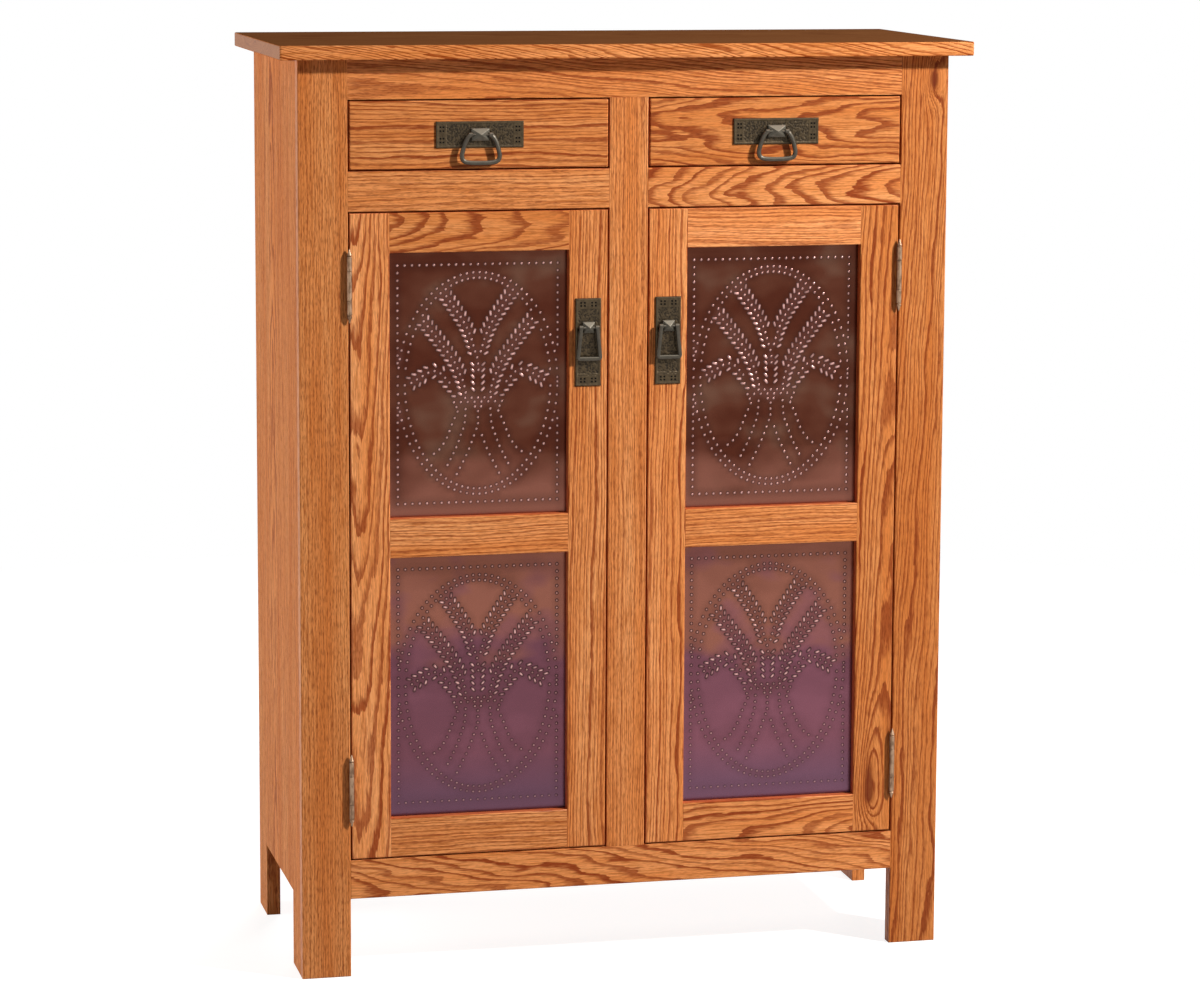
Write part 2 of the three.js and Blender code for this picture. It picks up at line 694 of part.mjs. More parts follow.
/** The half of a hinge on the door: the long middle knuckle, which turns on the pin. */
function doorLeaf(name, middle) {
  const knuckle = [-middleKnuckle, middleKnuckle];
  const bore = pinRadius + pinClearance;
  const geometry = carve([...leaf(1, [knuckle]), bar(barrelRadius, knuckle)],
    [bar(bore, grown(knuckle, overrun))]);
  return mesh(name, geometry, antiqueNickel, 0, 0, middle);
}

/** A pull's plate and boss. Its back is y = 0, it looks along -y, and its pivot is at x = z = 0. */
function pullPlate([width, rise], [bossWidth, bossRise], bossOffset) {
  const [a, b] = [width / 2 - plateBevel, rise / 2 - plateBevel];
  const outline = new THREE.Shape([
    new THREE.Vector2(-a, -b), new THREE.Vector2(a, -b), new THREE.Vector2(a, b), new THREE.Vector2(-a, b),
  ]);
  const bevelled = new THREE.ExtrudeGeometry(outline, {
    depth: plateThickness - plateBevel,
    bevelThickness: plateBevel,
    bevelSize: plateBevel,
    bevelSegments: 1,
  });
  bevelled.rotateX(Math.PI / 2).translate(0, 0, -bossOffset);
  const across = [-width / 2, width / 2];
  const upright = [-rise / 2 - bossOffset, rise / 2 - bossOffset];
  const backCut = block(grown(across, overrun), [0, plateBevel + overrun], grown(upright, overrun));
  const face = -plateThickness;
  const field = block(grown(across, -plateBorder), [face - overrun, face + plateFieldDepth],
    grown(upright, -plateBorder));
  const boss = new THREE.ConeGeometry(Math.SQRT1_2, 1, 4).rotateY(Math.PI / 4).rotateX(Math.PI / 2)
    .scale(bossWidth, bossHeight, bossRise).translate(0, face - bossHeight / 2 + plateFieldDepth, 0);
  const plinth = block([-bossWidth / 2, bossWidth / 2], [face, -plateBevel], [-bossRise / 2, bossRise / 2]);
  const bore = new THREE.CylinderGeometry(bailBoreRadius, bailBoreRadius, bossWidth + overrun, roundSides)
    .rotateZ(Math.PI / 2).translate(0, -bailPivotProud, 0);
  return carve([carve([bevelled], [backCut, field]), plinth, boss], [bore]);
}

/** A bail that hangs from the pivot at the origin: a round wire loop with an eye and a pin at each end. */
function bail(shares, halfWidth, drop) {
  const half = shares.map(([across, down]) => new THREE.Vector3(across * halfWidth, 0, -down * drop));
  const mirrored = half.slice(0, -1).reverse().map((point) => new THREE.Vector3(-point.x, 0, point.z));
  const curve = new THREE.CatmullRomCurve3([...half, ...mirrored], false, 'centripetal');
  const section = new THREE.Shape().absarc(0, 0, bailWireRadius, 0, Math.PI * 2);
  const wire = new THREE.ExtrudeGeometry(section, {
    steps: wireSteps,
    extrudePath: curve,
    curveSegments: wireSides / 2,
  });
  const eyeAt = half[0].x;
  const pieces = [wire];
  for (const sign of [1, -1]) {
    pieces.push(new THREE.SphereGeometry(bailEyeRadius, wireSides, eyeRings).rotateZ(Math.PI / 2)
      .translate(sign * eyeAt, 0, 0));
    pieces.push(new THREE.CylinderGeometry(bailPinRadius, bailPinRadius, eyeAt - bailPinReach, wireSides)
      .rotateZ(Math.PI / 2).translate((sign * (eyeAt + bailPinReach)) / 2, 0, 0));
  }
  return carve(pieces);
}

/** The left door, about its hinge axis, with its hinge halves and its pull. */
function leftDoor() {
  const door = new THREE.Group();
  door.position.set(-postInner + doorGap / 2, frontFace - barrelProud, doorBottom);
  const edge = doorGap / 2;
  const far = edge + doorWidth;
  const pullX = far - doorMemberWidth / 2;
  const pullZ = doorHeight - doorPullDrop + doorBossRise;
  const plate = pullPlate([plateWidth, plateLength], [doorBossWidth, doorBossDepth], doorBossRise);
  const sheet = punchedSheet();
  door.add(
    doorStile('left_door_hinge_stile', [edge, edge + doorMemberWidth], true),
    doorStile('left_door_lock_stile', [far - doorMemberWidth, far], false),
    doorRail('left_door_bottom_rail', 0, ['top'], ['top', 'bottom']),
    doorRail('left_door_middle_rail', middleRailBottom, ['top', 'bottom'], ['top', 'bottom']),
    doorRail('left_door_top_rail', doorHeight - doorMemberWidth, ['bottom'], ['top', 'bottom']),
    tin('left_door_lower_tin', sheet, doorMemberWidth),
    tin('left_door_upper_tin', sheet, middleRailBottom + doorMemberWidth),
    doorLeaf('left_lower_hinge_door_leaf', hingeInset),
    doorLeaf('left_upper_hinge_door_leaf', doorHeight - hingeInset),
    mesh('left_door_pull_plate', plate, darkIron, pullX, barrelProud, pullZ),
    mesh('left_door_bail', bail(doorBailShares, doorBailHalfWidth, doorBailDrop),
      darkIron, pullX, barrelProud - bailPivotProud, pullZ),
  );
  return door;
}

/** A drawer side with the groove for the bottom, cut along its inner face, and its lap in the front. */
function drawerSide(name, x, grooveAt) {
  const length = drawerBoxLength + drawerLap;
  const groove = block(grooveAt, grown([0, length], overrun),
    grown([drawerBottomHeight, drawerBottomHeight + drawerBottomThickness], drawerGrooveGap));
  const backStart = length - drawerBackInset - drawerSideThickness;
  const dado = block(grooveAt, grown([backStart, backStart + drawerSideThickness], glueGap),
    [drawerBottomHeight, drawerSideHeight + overrun]);
  const board = block([0, drawerSideThickness], [0, length], [0, drawerSideHeight]);
  return mesh(name, carve([board], [groove, dado]), oakInside,
    x, drawerFrontThickness - drawerLap, drawerBottomLevel);
}

/** A drawer front, with the laps for the sides and the groove for the bottom in its back. */
function drawerFront(name, grooveSpan) {
  const lap = drawerSideInset + drawerSideThickness + glueGap;
  const lapBand = [drawerFrontThickness - drawerLap - glueGap, drawerFrontThickness + overrun];
  const sideBand = grown([drawerBottomLevel, drawerBottomLevel + drawerSideHeight], glueGap);
  const grooveBottom = drawerBottomLevel + drawerBottomHeight;
  return mesh(name, carve([block([0, doorWidth], [0, drawerFrontThickness], [0, drawerFrontHeight])], [
    arris('z', [0, 0], [1, 1], grown([0, drawerFrontHeight], overrun)),
    arris('z', [doorWidth, 0], [-1, 1], grown([0, drawerFrontHeight], overrun)),
    arris('x', [0, 0], [1, 1], grown([0, doorWidth], overrun)),
    arris('x', [0, drawerFrontHeight], [1, -1], grown([0, doorWidth], overrun)),
    block([-overrun, lap], lapBand, sideBand),
    block([doorWidth - lap, doorWidth + overrun], lapBand, sideBand),
    block(grooveSpan, [drawerFrontThickness - drawerGrooveDepth, drawerFrontThickness + overrun],
      grown([grooveBottom, grooveBottom + drawerBottomThickness], drawerGrooveGap)),
  ]), oak, 0, 0, 0);
}

/** The left drawer, from the lower outer corner of its front. */
function leftDrawer() {
  const drawer = new THREE.Group();
  drawer.position.set(-postInner + doorGap, frontFace, drawerOpeningBottom + doorGap);
  const innerFace = drawerSideInset + drawerSideThickness;
  const grooveOuter = innerFace - drawerGrooveDepth;
  const grooveSpan = [grooveOuter, doorWidth - grooveOuter];
  const outerGroove = [drawerSideThickness - drawerGrooveDepth, drawerSideThickness + overrun];
  const backStart = drawerFrontThickness + drawerBoxLength - drawerBackInset - drawerSideThickness;
  const backRise = [drawerBottomHeight + drawerBottomThickness + drawerGrooveGap, drawerSideHeight];
  const bottomStart = drawerFrontThickness - drawerGrooveDepth + drawerGrooveGap;
  const bottomLength = drawerFrontThickness + drawerBoxLength - bottomStart;
  const back = block(grown(grooveSpan, -glueGap), [0, drawerSideThickness], backRise);
  const bottom = block(grown(grooveSpan, -drawerGrooveGap), [0, bottomLength], [0, drawerBottomThickness]);
  const plate = pullPlate([plateLength, plateWidth], [drawerBossWidth, drawerBossDepth], 0);
  drawer.add(
    drawerFront('left_drawer_front', grooveSpan),
    drawerSide('left_drawer_outer_side', drawerSideInset, outerGroove),
    drawerSide('left_drawer_inner_side', doorWidth - innerFace, [-overrun, drawerGrooveDepth]),
    mesh('left_drawer_back', back, oakInside, 0, backStart, drawerBottomLevel),
    mesh('left_drawer_bottom', bottom, oakInside, 0, bottomStart, drawerBottomLevel + drawerBottomHeight),
    mesh('left_drawer_pull_plate', plate, darkIron, doorWidth / 2, 0, drawerFrontHeight / 2),
    mesh('left_drawer_bail', bail(drawerBailShares, drawerBailHalfWidth, drawerBailDrop),
      darkIron, doorWidth / 2, -bailPivotProud, drawerFrontHeight / 2),
  );
  return drawer;
}

const pieSafe = new THREE.Group();

const leftHanded = [
  leftSide(),
  leftPost(),
  frameRail('left_drawer_rail', [-postInner, -centreHalf], drawerRailBand, ['top', 'bottom']),
  leftDrawerGuide(),
  frameLeaf('left_lower_hinge_frame_leaf', doorBottom + hingeInset),
  frameLeaf('left_upper_hinge_frame_leaf', doorBottom + doorHeight - hingeInset),
  leftDoor(),
  leftDrawer(),
];

const centreMortise = [postInner - centreHalf - glueGap, postInner + centreHalf - glueGap];
pieSafe.add(
  topBoard(),
  frameRail('top_rail', [-postInner, postInner], [drawerOpeningTop, caseTop - glueGap], [],
    [uprightTenon(0, 1, centreMortise, boardThickness, glueGap)]),
  frameRail('bottom_rail', [-postInner, postInner], [floorGap, doorOpeningBottom], ['bottom'],
    [uprightTenon(bottomRailHeight, -1, centreMortise, boardThickness, glueGap)]),
  centreStile(),
  dadoBoard('floor_board', dadoLevels[0], 0),
  ...shelfNames.map((name, i) => dadoBoard(name, shelfLevels[i], shelfSetback)),
  dadoBoard('drawer_deck', deckBottom, 0),
  backPanel(),
  drawerDivider(),
  doorStopRail(),
  ...leftHanded,
  ...leftHanded.map(twin),
);

export default pieSafe;
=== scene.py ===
"""A pie safe in golden oak: two drawers with hammered pulls over two doors with punched copper panels."""
import math
import random
from itertools import product

import bmesh
import bpy
import numpy as np
from mathutils import Matrix, Vector, geometry, noise

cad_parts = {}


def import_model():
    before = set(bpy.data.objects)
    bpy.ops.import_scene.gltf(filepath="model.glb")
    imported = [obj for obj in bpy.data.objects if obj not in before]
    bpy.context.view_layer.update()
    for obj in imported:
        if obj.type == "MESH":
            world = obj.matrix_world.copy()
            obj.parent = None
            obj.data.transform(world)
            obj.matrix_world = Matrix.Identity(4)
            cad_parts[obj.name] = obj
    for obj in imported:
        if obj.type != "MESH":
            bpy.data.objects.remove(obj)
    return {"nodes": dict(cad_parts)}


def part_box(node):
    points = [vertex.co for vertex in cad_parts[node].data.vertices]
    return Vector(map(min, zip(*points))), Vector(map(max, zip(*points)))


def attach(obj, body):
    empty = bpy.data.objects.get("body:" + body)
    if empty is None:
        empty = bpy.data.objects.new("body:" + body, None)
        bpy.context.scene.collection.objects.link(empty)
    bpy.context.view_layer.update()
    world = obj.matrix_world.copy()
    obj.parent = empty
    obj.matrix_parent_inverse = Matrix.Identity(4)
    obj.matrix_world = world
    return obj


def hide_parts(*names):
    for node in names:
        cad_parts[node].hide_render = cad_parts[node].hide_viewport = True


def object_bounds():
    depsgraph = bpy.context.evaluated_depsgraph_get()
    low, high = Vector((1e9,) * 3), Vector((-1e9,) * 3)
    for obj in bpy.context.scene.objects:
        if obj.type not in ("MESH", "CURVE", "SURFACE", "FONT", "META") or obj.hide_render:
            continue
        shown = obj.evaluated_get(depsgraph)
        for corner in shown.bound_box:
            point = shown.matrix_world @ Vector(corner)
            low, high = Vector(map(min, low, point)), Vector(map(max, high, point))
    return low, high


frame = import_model()
cad_low, cad_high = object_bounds()

MM = 0.001
SIDES = ("left", "right")
AXES = {"x": 0, "y": 1, "z": 2}


# Colours as they are written in sRGB, turned into the linear values that the shaders take

def rgb(red, green, blue):
    """An sRGB colour from 0 to 255 as linear RGBA."""
    def linear(level):
        share = level / 255
        return share / 12.92 if share <= 0.04045 else ((share + 0.055) / 1.055) ** 2.4
    return linear(red), linear(green), linear(blue), 1.0


def shade(colour, factor):
    """A linear colour made darker or lighter."""
    return tuple(min(1.0, channel * factor) for channel in colour[:3]) + (1.0,)


# Shader nodes

class Graph:
    """The nodes of a material or a node group, added one call at a time."""

    def __init__(self, tree):
        self.tree = tree

    def add(self, kind, *values, **settings):
        """Adds a shader node, sets its properties and feeds its inputs in order."""
        node = self.tree.nodes.new("ShaderNode" + kind)
        for name, value in settings.items():
            setattr(node, name, value)
        for socket, value in zip(node.inputs, values):
            self.feed(socket, value)
        return node

    def feed(self, socket, value):
        """Links an output to a socket, or sets the socket's own value."""
        if isinstance(value, bpy.types.NodeSocket):
            self.tree.links.new(value, socket)
        elif value is not None:
            socket.default_value = value

    def math(self, operation, *values, clamped=False):
        """One scalar sum, kept between 0 and 1 where it is clamped."""
        return self.add("Math", *values, operation=operation, use_clamp=clamped).outputs[0]

    def vector(self, operation, *values):
        """One vector sum."""
        return self.add("VectorMath", *values, operation=operation).outputs[0]

    def length(self, vector):
        """The length of a vector."""
        return self.add("VectorMath", vector, operation="LENGTH").outputs["Value"]

    def stretched(self, vector, factor):
        """A vector multiplied by one factor."""
        node = self.add("VectorMath", vector, operation="SCALE")
        self.feed(node.inputs["Scale"], factor)
        return node.outputs[0]

    def centred(self, level, reach):
        """A level from 0 to 1 spread over a reach about zero."""
        return self.math("MULTIPLY_ADD", level, reach, -reach / 2)

    def remap(self, value, start, end, low, high):
        """A value that goes from low to high as another goes from start to end, and no further."""
        return self.add("MapRange", value, start, end, low, high).outputs[0]

    def noise(self, vector, sizes=(1, 1, 1), detail=2.0, roughness=0.5):
        """Noise whose features have about the given sizes along each axis, as the node's outputs."""
        node = self.add("TexNoise")
        self.feed(node.inputs["Vector"], self.vector("DIVIDE", vector, tuple(sizes)))
        for name, value in (("Scale", 1.0), ("Detail", detail), ("Roughness", roughness)):
            self.feed(node.inputs[name], value)
        return node.outputs

    def ramp(self, factor, *stops):
        """A colour ramp through (position, level or colour) stops."""
        node = self.add("ValToRGB", factor)
        elements = node.color_ramp.elements
        while len(elements) < len(stops):
            elements.new(1.0)
        for element, (position, colour) in zip(elements, stops):
            element.position = position
            element.color = colour if isinstance(colour, tuple) else (colour, colour, colour, 1.0)
        return node.outputs["Color"]

    def mix(self, factor, first, second, blend="MIX"):
        """Two colours mixed by a factor."""
        node = self.add("Mix", data_type="RGBA", blend_type=blend)
        self.feed(node.inputs["Factor"], factor)
        colours = [socket for socket in node.inputs if socket.type == "RGBA"]
        self.feed(colours[0], first)
        self.feed(colours[1], second)
        return [socket for socket in node.outputs if socket.type == "RGBA"][0]

    def bump(self, height, distance, strength=1.0):
        """A bump whose height 1 stands for a distance in metres."""
        node = self.add("Bump")
        self.feed(node.inputs["Strength"], strength)
        self.feed(node.inputs["Distance"], distance)
        self.feed(node.inputs["Height"], height)
        return node.outputs["Normal"]

    def millimetres(self, centre=(0, 0, 0)):
        """Object coordinates in millimetres, about a point given in metres."""
        coordinates = self.add("TexCoord").outputs["Object"]
        return self.stretched(self.vector("SUBTRACT", coordinates, tuple(centre)), 1 / MM)

    def facing(self, axis):
        """How far the surface faces along a world axis, from -1 to 1."""
        return self.add("SeparateXYZ", self.add("NewGeometry").outputs["Normal"]).outputs[AXES[axis]]

    def attribute(self, name):
        """A number that the mesh holds at its vertices."""
        return self.add("Attribute", attribute_name=name).outputs["Fac"]

    def surface(self, **inputs):
        """The Principled shader with the given inputs, linked to the output."""
        shader = self.add("BsdfPrincipled")
        for name, value in inputs.items():
            self.feed(shader.inputs[name.replace("_", " ")], value)
        output = self.add("OutputMaterial")
        self.feed(output.inputs["Surface"], shader.outputs[0])


def material(name):
    """A new material without nodes, and its graph."""
    made = bpy.data.materials.new(name)
    made.use_nodes = True
    made.node_tree.nodes.clear()
    return made, Graph(made.node_tree)


# Oak: every board is cut from a log whose rings run round a leaning, wandering pith, so flat-sawn boards
# show cathedrals, rift-sawn boards straight lines, and edges and ends carry on the same rings. Sizes are in
# millimetres and swings in ring widths

WANDER_SIZE = (260, 80, 80)
WANDER_REACH = 15
YEARS_RATE = 0.31
YEARS_SWING = 2.4
RIPPLE_SIZE = (120, 26, 26)
RIPPLE_SWING = 1.9
TOOTH_SIZE = (26, 6, 6)
TOOTH_SWING = 0.35
STREAK_SIZE = (18, 1.8, 1.8)
STREAK_SWING = 0.12
RAGGED_SHIFT = -0.23
RING_FADE = ((0.0, 0.0), (0.3, 0.0), (0.5, 0.3), (0.68, 0.65), (0.82, 1.0), (0.94, 1.0), (1.0, 0.05))
RING_GAIN = 1.7
FEATHER = 2.25
FEATHER_SHIFT = 0.675
FAINTEST_RING = 0.6
DASH_SIZE = (9, 1.7, 1.7)
PORES_BETWEEN = 0.5
BAND_SIZE = (420, 26, 26)
FIBRE_SIZE = (36, 1.5, 1.5)


def oak_group():
    """The figure of oak at a place given as (along, across, depth) in millimetres."""
    group = bpy.data.node_groups.new("oak_figure", "ShaderNodeTree")
    for way, kind, names in (("INPUT", "Vector", ("Place", "Pith", "Lean", "Seed")),
                             ("INPUT", "Float", ("Ring", "Wander")),
                             ("OUTPUT", "Float", ("Rings", "Pores", "Tone", "Fibre"))):
        for name in names:
            group.interface.new_socket(name, in_out=way, socket_type="NodeSocket" + kind)
    g = Graph(group)
    given = group.nodes.new("NodeGroupInput").outputs
    place = g.vector("ADD", given["Place"], given["Seed"])
    along = g.add("SeparateXYZ", given["Place"]).outputs[0]

    wander = g.vector("SUBTRACT", g.noise(place, WANDER_SIZE, detail=1)["Color"], (0.5, 0.5, 0.5))
    swing = g.stretched(wander, g.math("MULTIPLY", given["Wander"], WANDER_REACH))
    from_pith = g.vector("SUBTRACT", given["Place"], given["Pith"])
    from_pith = g.vector("ADD", from_pith, g.stretched(given["Lean"], along))
    from_pith = g.vector("MULTIPLY", g.vector("ADD", from_pith, swing), (0, 1, 1))
    rings = g.math("DIVIDE", g.length(from_pith), given["Ring"])

    years = g.add("TexNoise", noise_dimensions="1D")
    g.feed(years.inputs["W"], g.math("MULTIPLY", rings, YEARS_RATE))
    g.feed(years.inputs["Scale"], 1.0)
    uneven = g.centred(years.outputs[0], YEARS_SWING)
    ripple = g.centred(g.noise(place, RIPPLE_SIZE, detail=1)[0], RIPPLE_SWING)
    ripple = g.math("MULTIPLY", ripple, given["Wander"])
    tooth = g.noise(place, TOOTH_SIZE, detail=1)[0]
    streak = g.noise(place, STREAK_SIZE, detail=1)[0]
    ragged = g.math("MULTIPLY_ADD", streak, STREAK_SWING, RAGGED_SHIFT)
    ragged = g.math("MULTIPLY_ADD", tooth, TOOTH_SWING, ragged)
    ring = g.math("ADD", g.math("ADD", rings, uneven), g.math("ADD", ripple, ragged))
    feather = g.math("MULTIPLY_ADD", streak, -FEATHER, FEATHER_SHIFT)
    fade = g.ramp(g.math("FRACT", ring), *RING_FADE)
    profile = g.math("MULTIPLY_ADD", fade, RING_GAIN, feather, clamped=True)
    year = g.add("TexWhiteNoise", noise_dimensions="1D")
    g.feed(year.inputs["W"], g.math("FLOOR", ring))
    strength = g.math("MULTIPLY_ADD", year.outputs["Value"], 1 - FAINTEST_RING, FAINTEST_RING)
    dashes = g.ramp(g.noise(place, DASH_SIZE, detail=1)[0], (0.47, 0.0), (0.62, 1.0))
    spread = g.math("MULTIPLY_ADD", profile, 1 - PORES_BETWEEN, PORES_BETWEEN)

    outputs = group.nodes.new("NodeGroupOutput").inputs
    g.feed(outputs["Rings"], g.math("MULTIPLY", profile, strength))
    g.feed(outputs["Pores"], g.math("MULTIPLY", dashes, spread))
    g.feed(outputs["Tone"], g.noise(place, BAND_SIZE)[0])
    g.feed(outputs["Fibre"], g.noise(place, FIBRE_SIZE)[0])
    return group


OAK_LIGHT = rgb(248, 170, 108)
OAK_FACE = rgb(232, 142, 76)
OAK_FIBRE = rgb(200, 118, 58)
OAK_RING = rgb(150, 64, 22)
OAK_PORE = rgb(114, 42, 10)
# Painted shade that darkens the top face of the top board
OAK_TOP_SHADE = rgb(104, 66, 40)
# A painted sheen that makes the ends of the top board pale and grey
OAK_END_SHEEN = rgb(184, 152, 138)
# Painted shade, tinted red as by bounce light, for the edge faces of the face boards, and the boards that go
# without it
OAK_EDGE_SHADE = rgb(196, 60, 24)
EDGE_SHADE = 0.5
NO_EDGE_SHADE = ("left_post", "right_post", "bottom_rail")
# How strong the painted shade on the top face and the painted sheen on the top board's ends are
TOP_SHADE = 0.85
END_SHEEN = 0.7
OAK_SPECULAR = 0.14
OAK_ROUGHNESS = 0.4
# Boards with a finish of their own: specular level and roughness
OTHER_FINISH = {"top_board": (0.0, 0.4), "left_side": (0.08, 0.6)}
PORE_ROUGHNESS = 0.2
RING_DEPTH = 0.35
PORE_DEPTH = 0.65
RELIEF = 0.12 * MM
SEED_REACH = 9000
# Knots: how far along and across from the board's centre, how far they reach up, down and across, and how
# much the rings swell round them, in millimetres
KNOTS = {
    "right_door_hinge_stile": (-381, -4, 105, 36, 16, 20),
    "right_post": (583, 13, 36, 30, 13, 22),
}
TONE_POWERS = (1.0, 1.4, 2.2)
figure = oak_group()


def toned(colour, tone):
    """The colour on a darker board, where it is also redder, or on a lighter board, where it is paler."""
    return (*(channel * tone ** power for channel, power in zip(colour, TONE_POWERS)), 1.0)


def knot_at(g, along, sideways, level, aside, above, below, width):
    """How near a place is to a knot: 1 at its middle, and 0 well off."""
    rise = g.math("SUBTRACT", along, level)
    rise = g.math("MAXIMUM", g.math("DIVIDE", rise, above), g.math("DIVIDE", rise, -below))
    reach = g.math("DIVIDE", g.math("SUBTRACT", sideways, aside), width)
    apart = g.math("MULTIPLY_ADD", rise, rise, g.math("MULTIPLY", reach, reach))
    return g.math("EXPONENT", g.math("MULTIPLY", apart, -1.0))


def grown(g, **inputs):
    """The figure of one board: its rings, pores, tone and fibre."""
    cut = g.add("Group")
    cut.node_tree = figure
    for socket, value in inputs.items():
        g.feed(cut.inputs[socket], value)
    return [cut.outputs[socket] for socket in ("Rings", "Pores", "Tone", "Fibre")]


def oak(name, box, grain, face, pith, lean, ring, wander=1.0, tone=1.0, specks=0.3):
    """Oak for one board. grain is the axis along it and face the axis through its thickness. pith is how
    far its log's middle lies across and below the board's centre, and lean how far it moves off in each
    metre of length, in millimetres. specks is how far pore specks stand in for lines, from 0 to 1."""
    made, g = material("oak_" + name)
    across = (set(AXES) - {grain, face}).pop()
    parts = g.add("SeparateXYZ", g.millimetres((box[0] + box[1]) / 2)).outputs
    along, sideways, depth = (parts[AXES[axis]] for axis in (grain, across, face))
    if name in KNOTS:
        *spot, swell = KNOTS[name]
        knot = knot_at(g, along, sideways, *spot)
        depth = g.math("MULTIPLY_ADD", knot, swell, depth)
    rng = random.Random("oak " + name)
    seed = tuple(rng.uniform(-SEED_REACH, SEED_REACH) for _ in range(3))
    slope = tuple(reach * MM for reach in (0, *lean))
    if name == "top_board":
        upward = g.ramp(g.facing("z"), (0.8, 0.0), (0.95, 1.0))
        slope = g.stretched(slope, g.math("SUBTRACT", 1.0, upward))
    place = g.add("CombineXYZ", along, sideways, depth).outputs[0]
    rings, pores, band, fibre = grown(g, Place=place, Pith=(0, *pith), Ring=ring, Wander=wander, Lean=slope,
                                      Seed=seed)
    colour = g.mix(g.ramp(band, (0.32, 0.0), (0.68, 1.0)), toned(OAK_FACE, tone), toned(OAK_LIGHT, tone))
    colour = g.mix(g.ramp(fibre, (0.42, 0.0), (0.52, 0.25), (0.66, 0.9)), colour, toned(OAK_FIBRE, tone))
    colour = g.mix(g.math("MULTIPLY", rings, 1.0 - 0.7 * specks), colour, toned(OAK_RING, tone))
    colour = g.mix(g.math("MULTIPLY", pores, 0.4 + 0.2 * specks), colour, toned(OAK_PORE, tone))
    if name in KNOTS:
        colour = g.mix(g.ramp(knot, (0.5, 0.0), (0.8, 0.25), (0.93, 0.85)), colour, toned(OAK_PORE, tone))
    specular, roughness = OTHER_FINISH.get(name, (OAK_SPECULAR, OAK_ROUGHNESS))
    rough = g.math("MULTIPLY_ADD", pores, PORE_ROUGHNESS, roughness)
    # Painted shade, tinted red as by bounce light, on the faces that don't look forwards or back
    if name in FACE_BOARDS and name not in NO_EDGE_SHADE:
        forwards = g.math("ABSOLUTE", g.facing("y"))
        colour = g.mix(g.ramp(forwards, (0.25, EDGE_SHADE), (0.7, 0.0)), colour, OAK_EDGE_SHADE)
    if name == "top_board":
        # Painted shade darkens the top face
        colour = g.mix(g.math("MULTIPLY", upward, TOP_SHADE), colour, OAK_TOP_SHADE)
        # A painted sheen makes the ends pale and grey
        endways = g.math("ABSOLUTE", g.facing("x"))
        colour = g.mix(g.ramp(endways, (0.8, 0.0), (0.95, END_SHEEN)), colour, OAK_END_SHEEN)
        rough = g.math("MAXIMUM", rough, upward)
    height = g.math("MULTIPLY_ADD", rings, -RING_DEPTH, g.math("MULTIPLY", pores, -PORE_DEPTH))
    g.surface(
        Base_Color=colour,
        Roughness=rough,
        Specular_IOR_Level=specular,
        Normal=g.bump(height, RELIEF, 0.6),
    )
    return made


# How each face board was sawn: grain axis, pith (across, below), lean (across, below), ring, wander, tone
# and specks
FACE_BOARDS = {
    "left_post": ("z", (-130, 90), (4, 6), 2.9, 0.5, 0.84, 0.85),
    "right_post": ("z", (70, 60), (-55, 10), 3.9, 1.0, 0.76, 0.1),
    "centre_stile": ("z", (120, 90), (5, -8), 3.2, 0.5, 0.93, 0.55),
    "top_rail": ("x", (-60, 60), (105, 0), 3.5, 1.0, 0.92, 0.2),
    "bottom_rail": ("x", (-55, 85), (80, -80), 6.4, 1.4, 0.95, 0.0),
    "left_drawer_rail": ("x", (-60, 90), (10, 8), 3.4, 0.6, 0.91, 0.65),
    "right_drawer_rail": ("x", (-4, 44), (0, 125), 5.4, 1.2, 0.94, 0.0),
    "left_drawer_front": ("x", (-70, 62), (20, 10), 4.2, 0.7, 0.85, 0.05),
    "right_drawer_front": ("x", (12, 42), (10, 62), 5.6, 1.4, 0.84, 0.0),
    "left_door_hinge_stile": ("z", (-20, 42), (10, 45), 4.6, 0.8, 1.06, 0.05),
    "left_door_lock_stile": ("z", (75, 60), (-34, 20), 3.7, 0.5, 0.94, 0.1),
    "left_door_top_rail": ("x", (10, 44), (40, -105), 5.0, 1.0, 0.86, 0.0),
    "left_door_middle_rail": ("x", (-85, 70), (14, 20), 3.3, 0.7, 0.97, 0.3),
    "left_door_bottom_rail": ("x", (-85, 80), (20, 14), 3.3, 0.7, 0.92, 0.3),
    "right_door_hinge_stile": ("z", (24, 34), (-14, -26), 4.0, 0.8, 0.82, 0.05),
    "right_door_lock_stile": ("z", (60, 44), (-26, 12), 4.2, 0.7, 1.0, 0.05),
    "right_door_top_rail": ("x", (90, 90), (6, 12), 3.3, 0.7, 1.12, 0.35),
    "right_door_middle_rail": ("x", (85, 80), (10, -16), 3.3, 0.7, 0.97, 0.35),
    "right_door_bottom_rail": ("x", (-24, 46), (20, 60), 4.2, 1.1, 0.95, 0.0),
}
# The other boards, with the face axis after the grain axis
BODY_BOARDS = {
    "top_board": ("x", "z", (70, 260), (0, 220), 3.1, 1.0, 1.0, 0.0),
    "left_side": ("z", "x", (30, -70), (6, 30), 4.4, 1.2, 0.94, 0.3),
    "right_side": ("z", "x", (-20, 75), (8, -30), 4.4, 1.2, 0.85, 0.2),
    "back_panel": ("z", "y", (40, 60), (6, 36), 7.0, 1.4, 0.86, 0.1),
    "floor_board": ("x", "z", (60, 90), (6, 20), 5.0, 1.2),
    "lower_shelf": ("x", "z", (-50, 80), (6, 24), 5.2, 1.2),
    "upper_shelf": ("x", "z", (20, 70), (6, -26), 5.2, 1.2),
    "drawer_deck": ("x", "z", (-30, 90), (6, 20), 5.0, 1.2),
    "drawer_divider": ("y", "x", (30, 60), (6, 30), 4.8),
    "door_stop_rail": ("x", "y", (20, 60), (6, 30), 4.4),
}
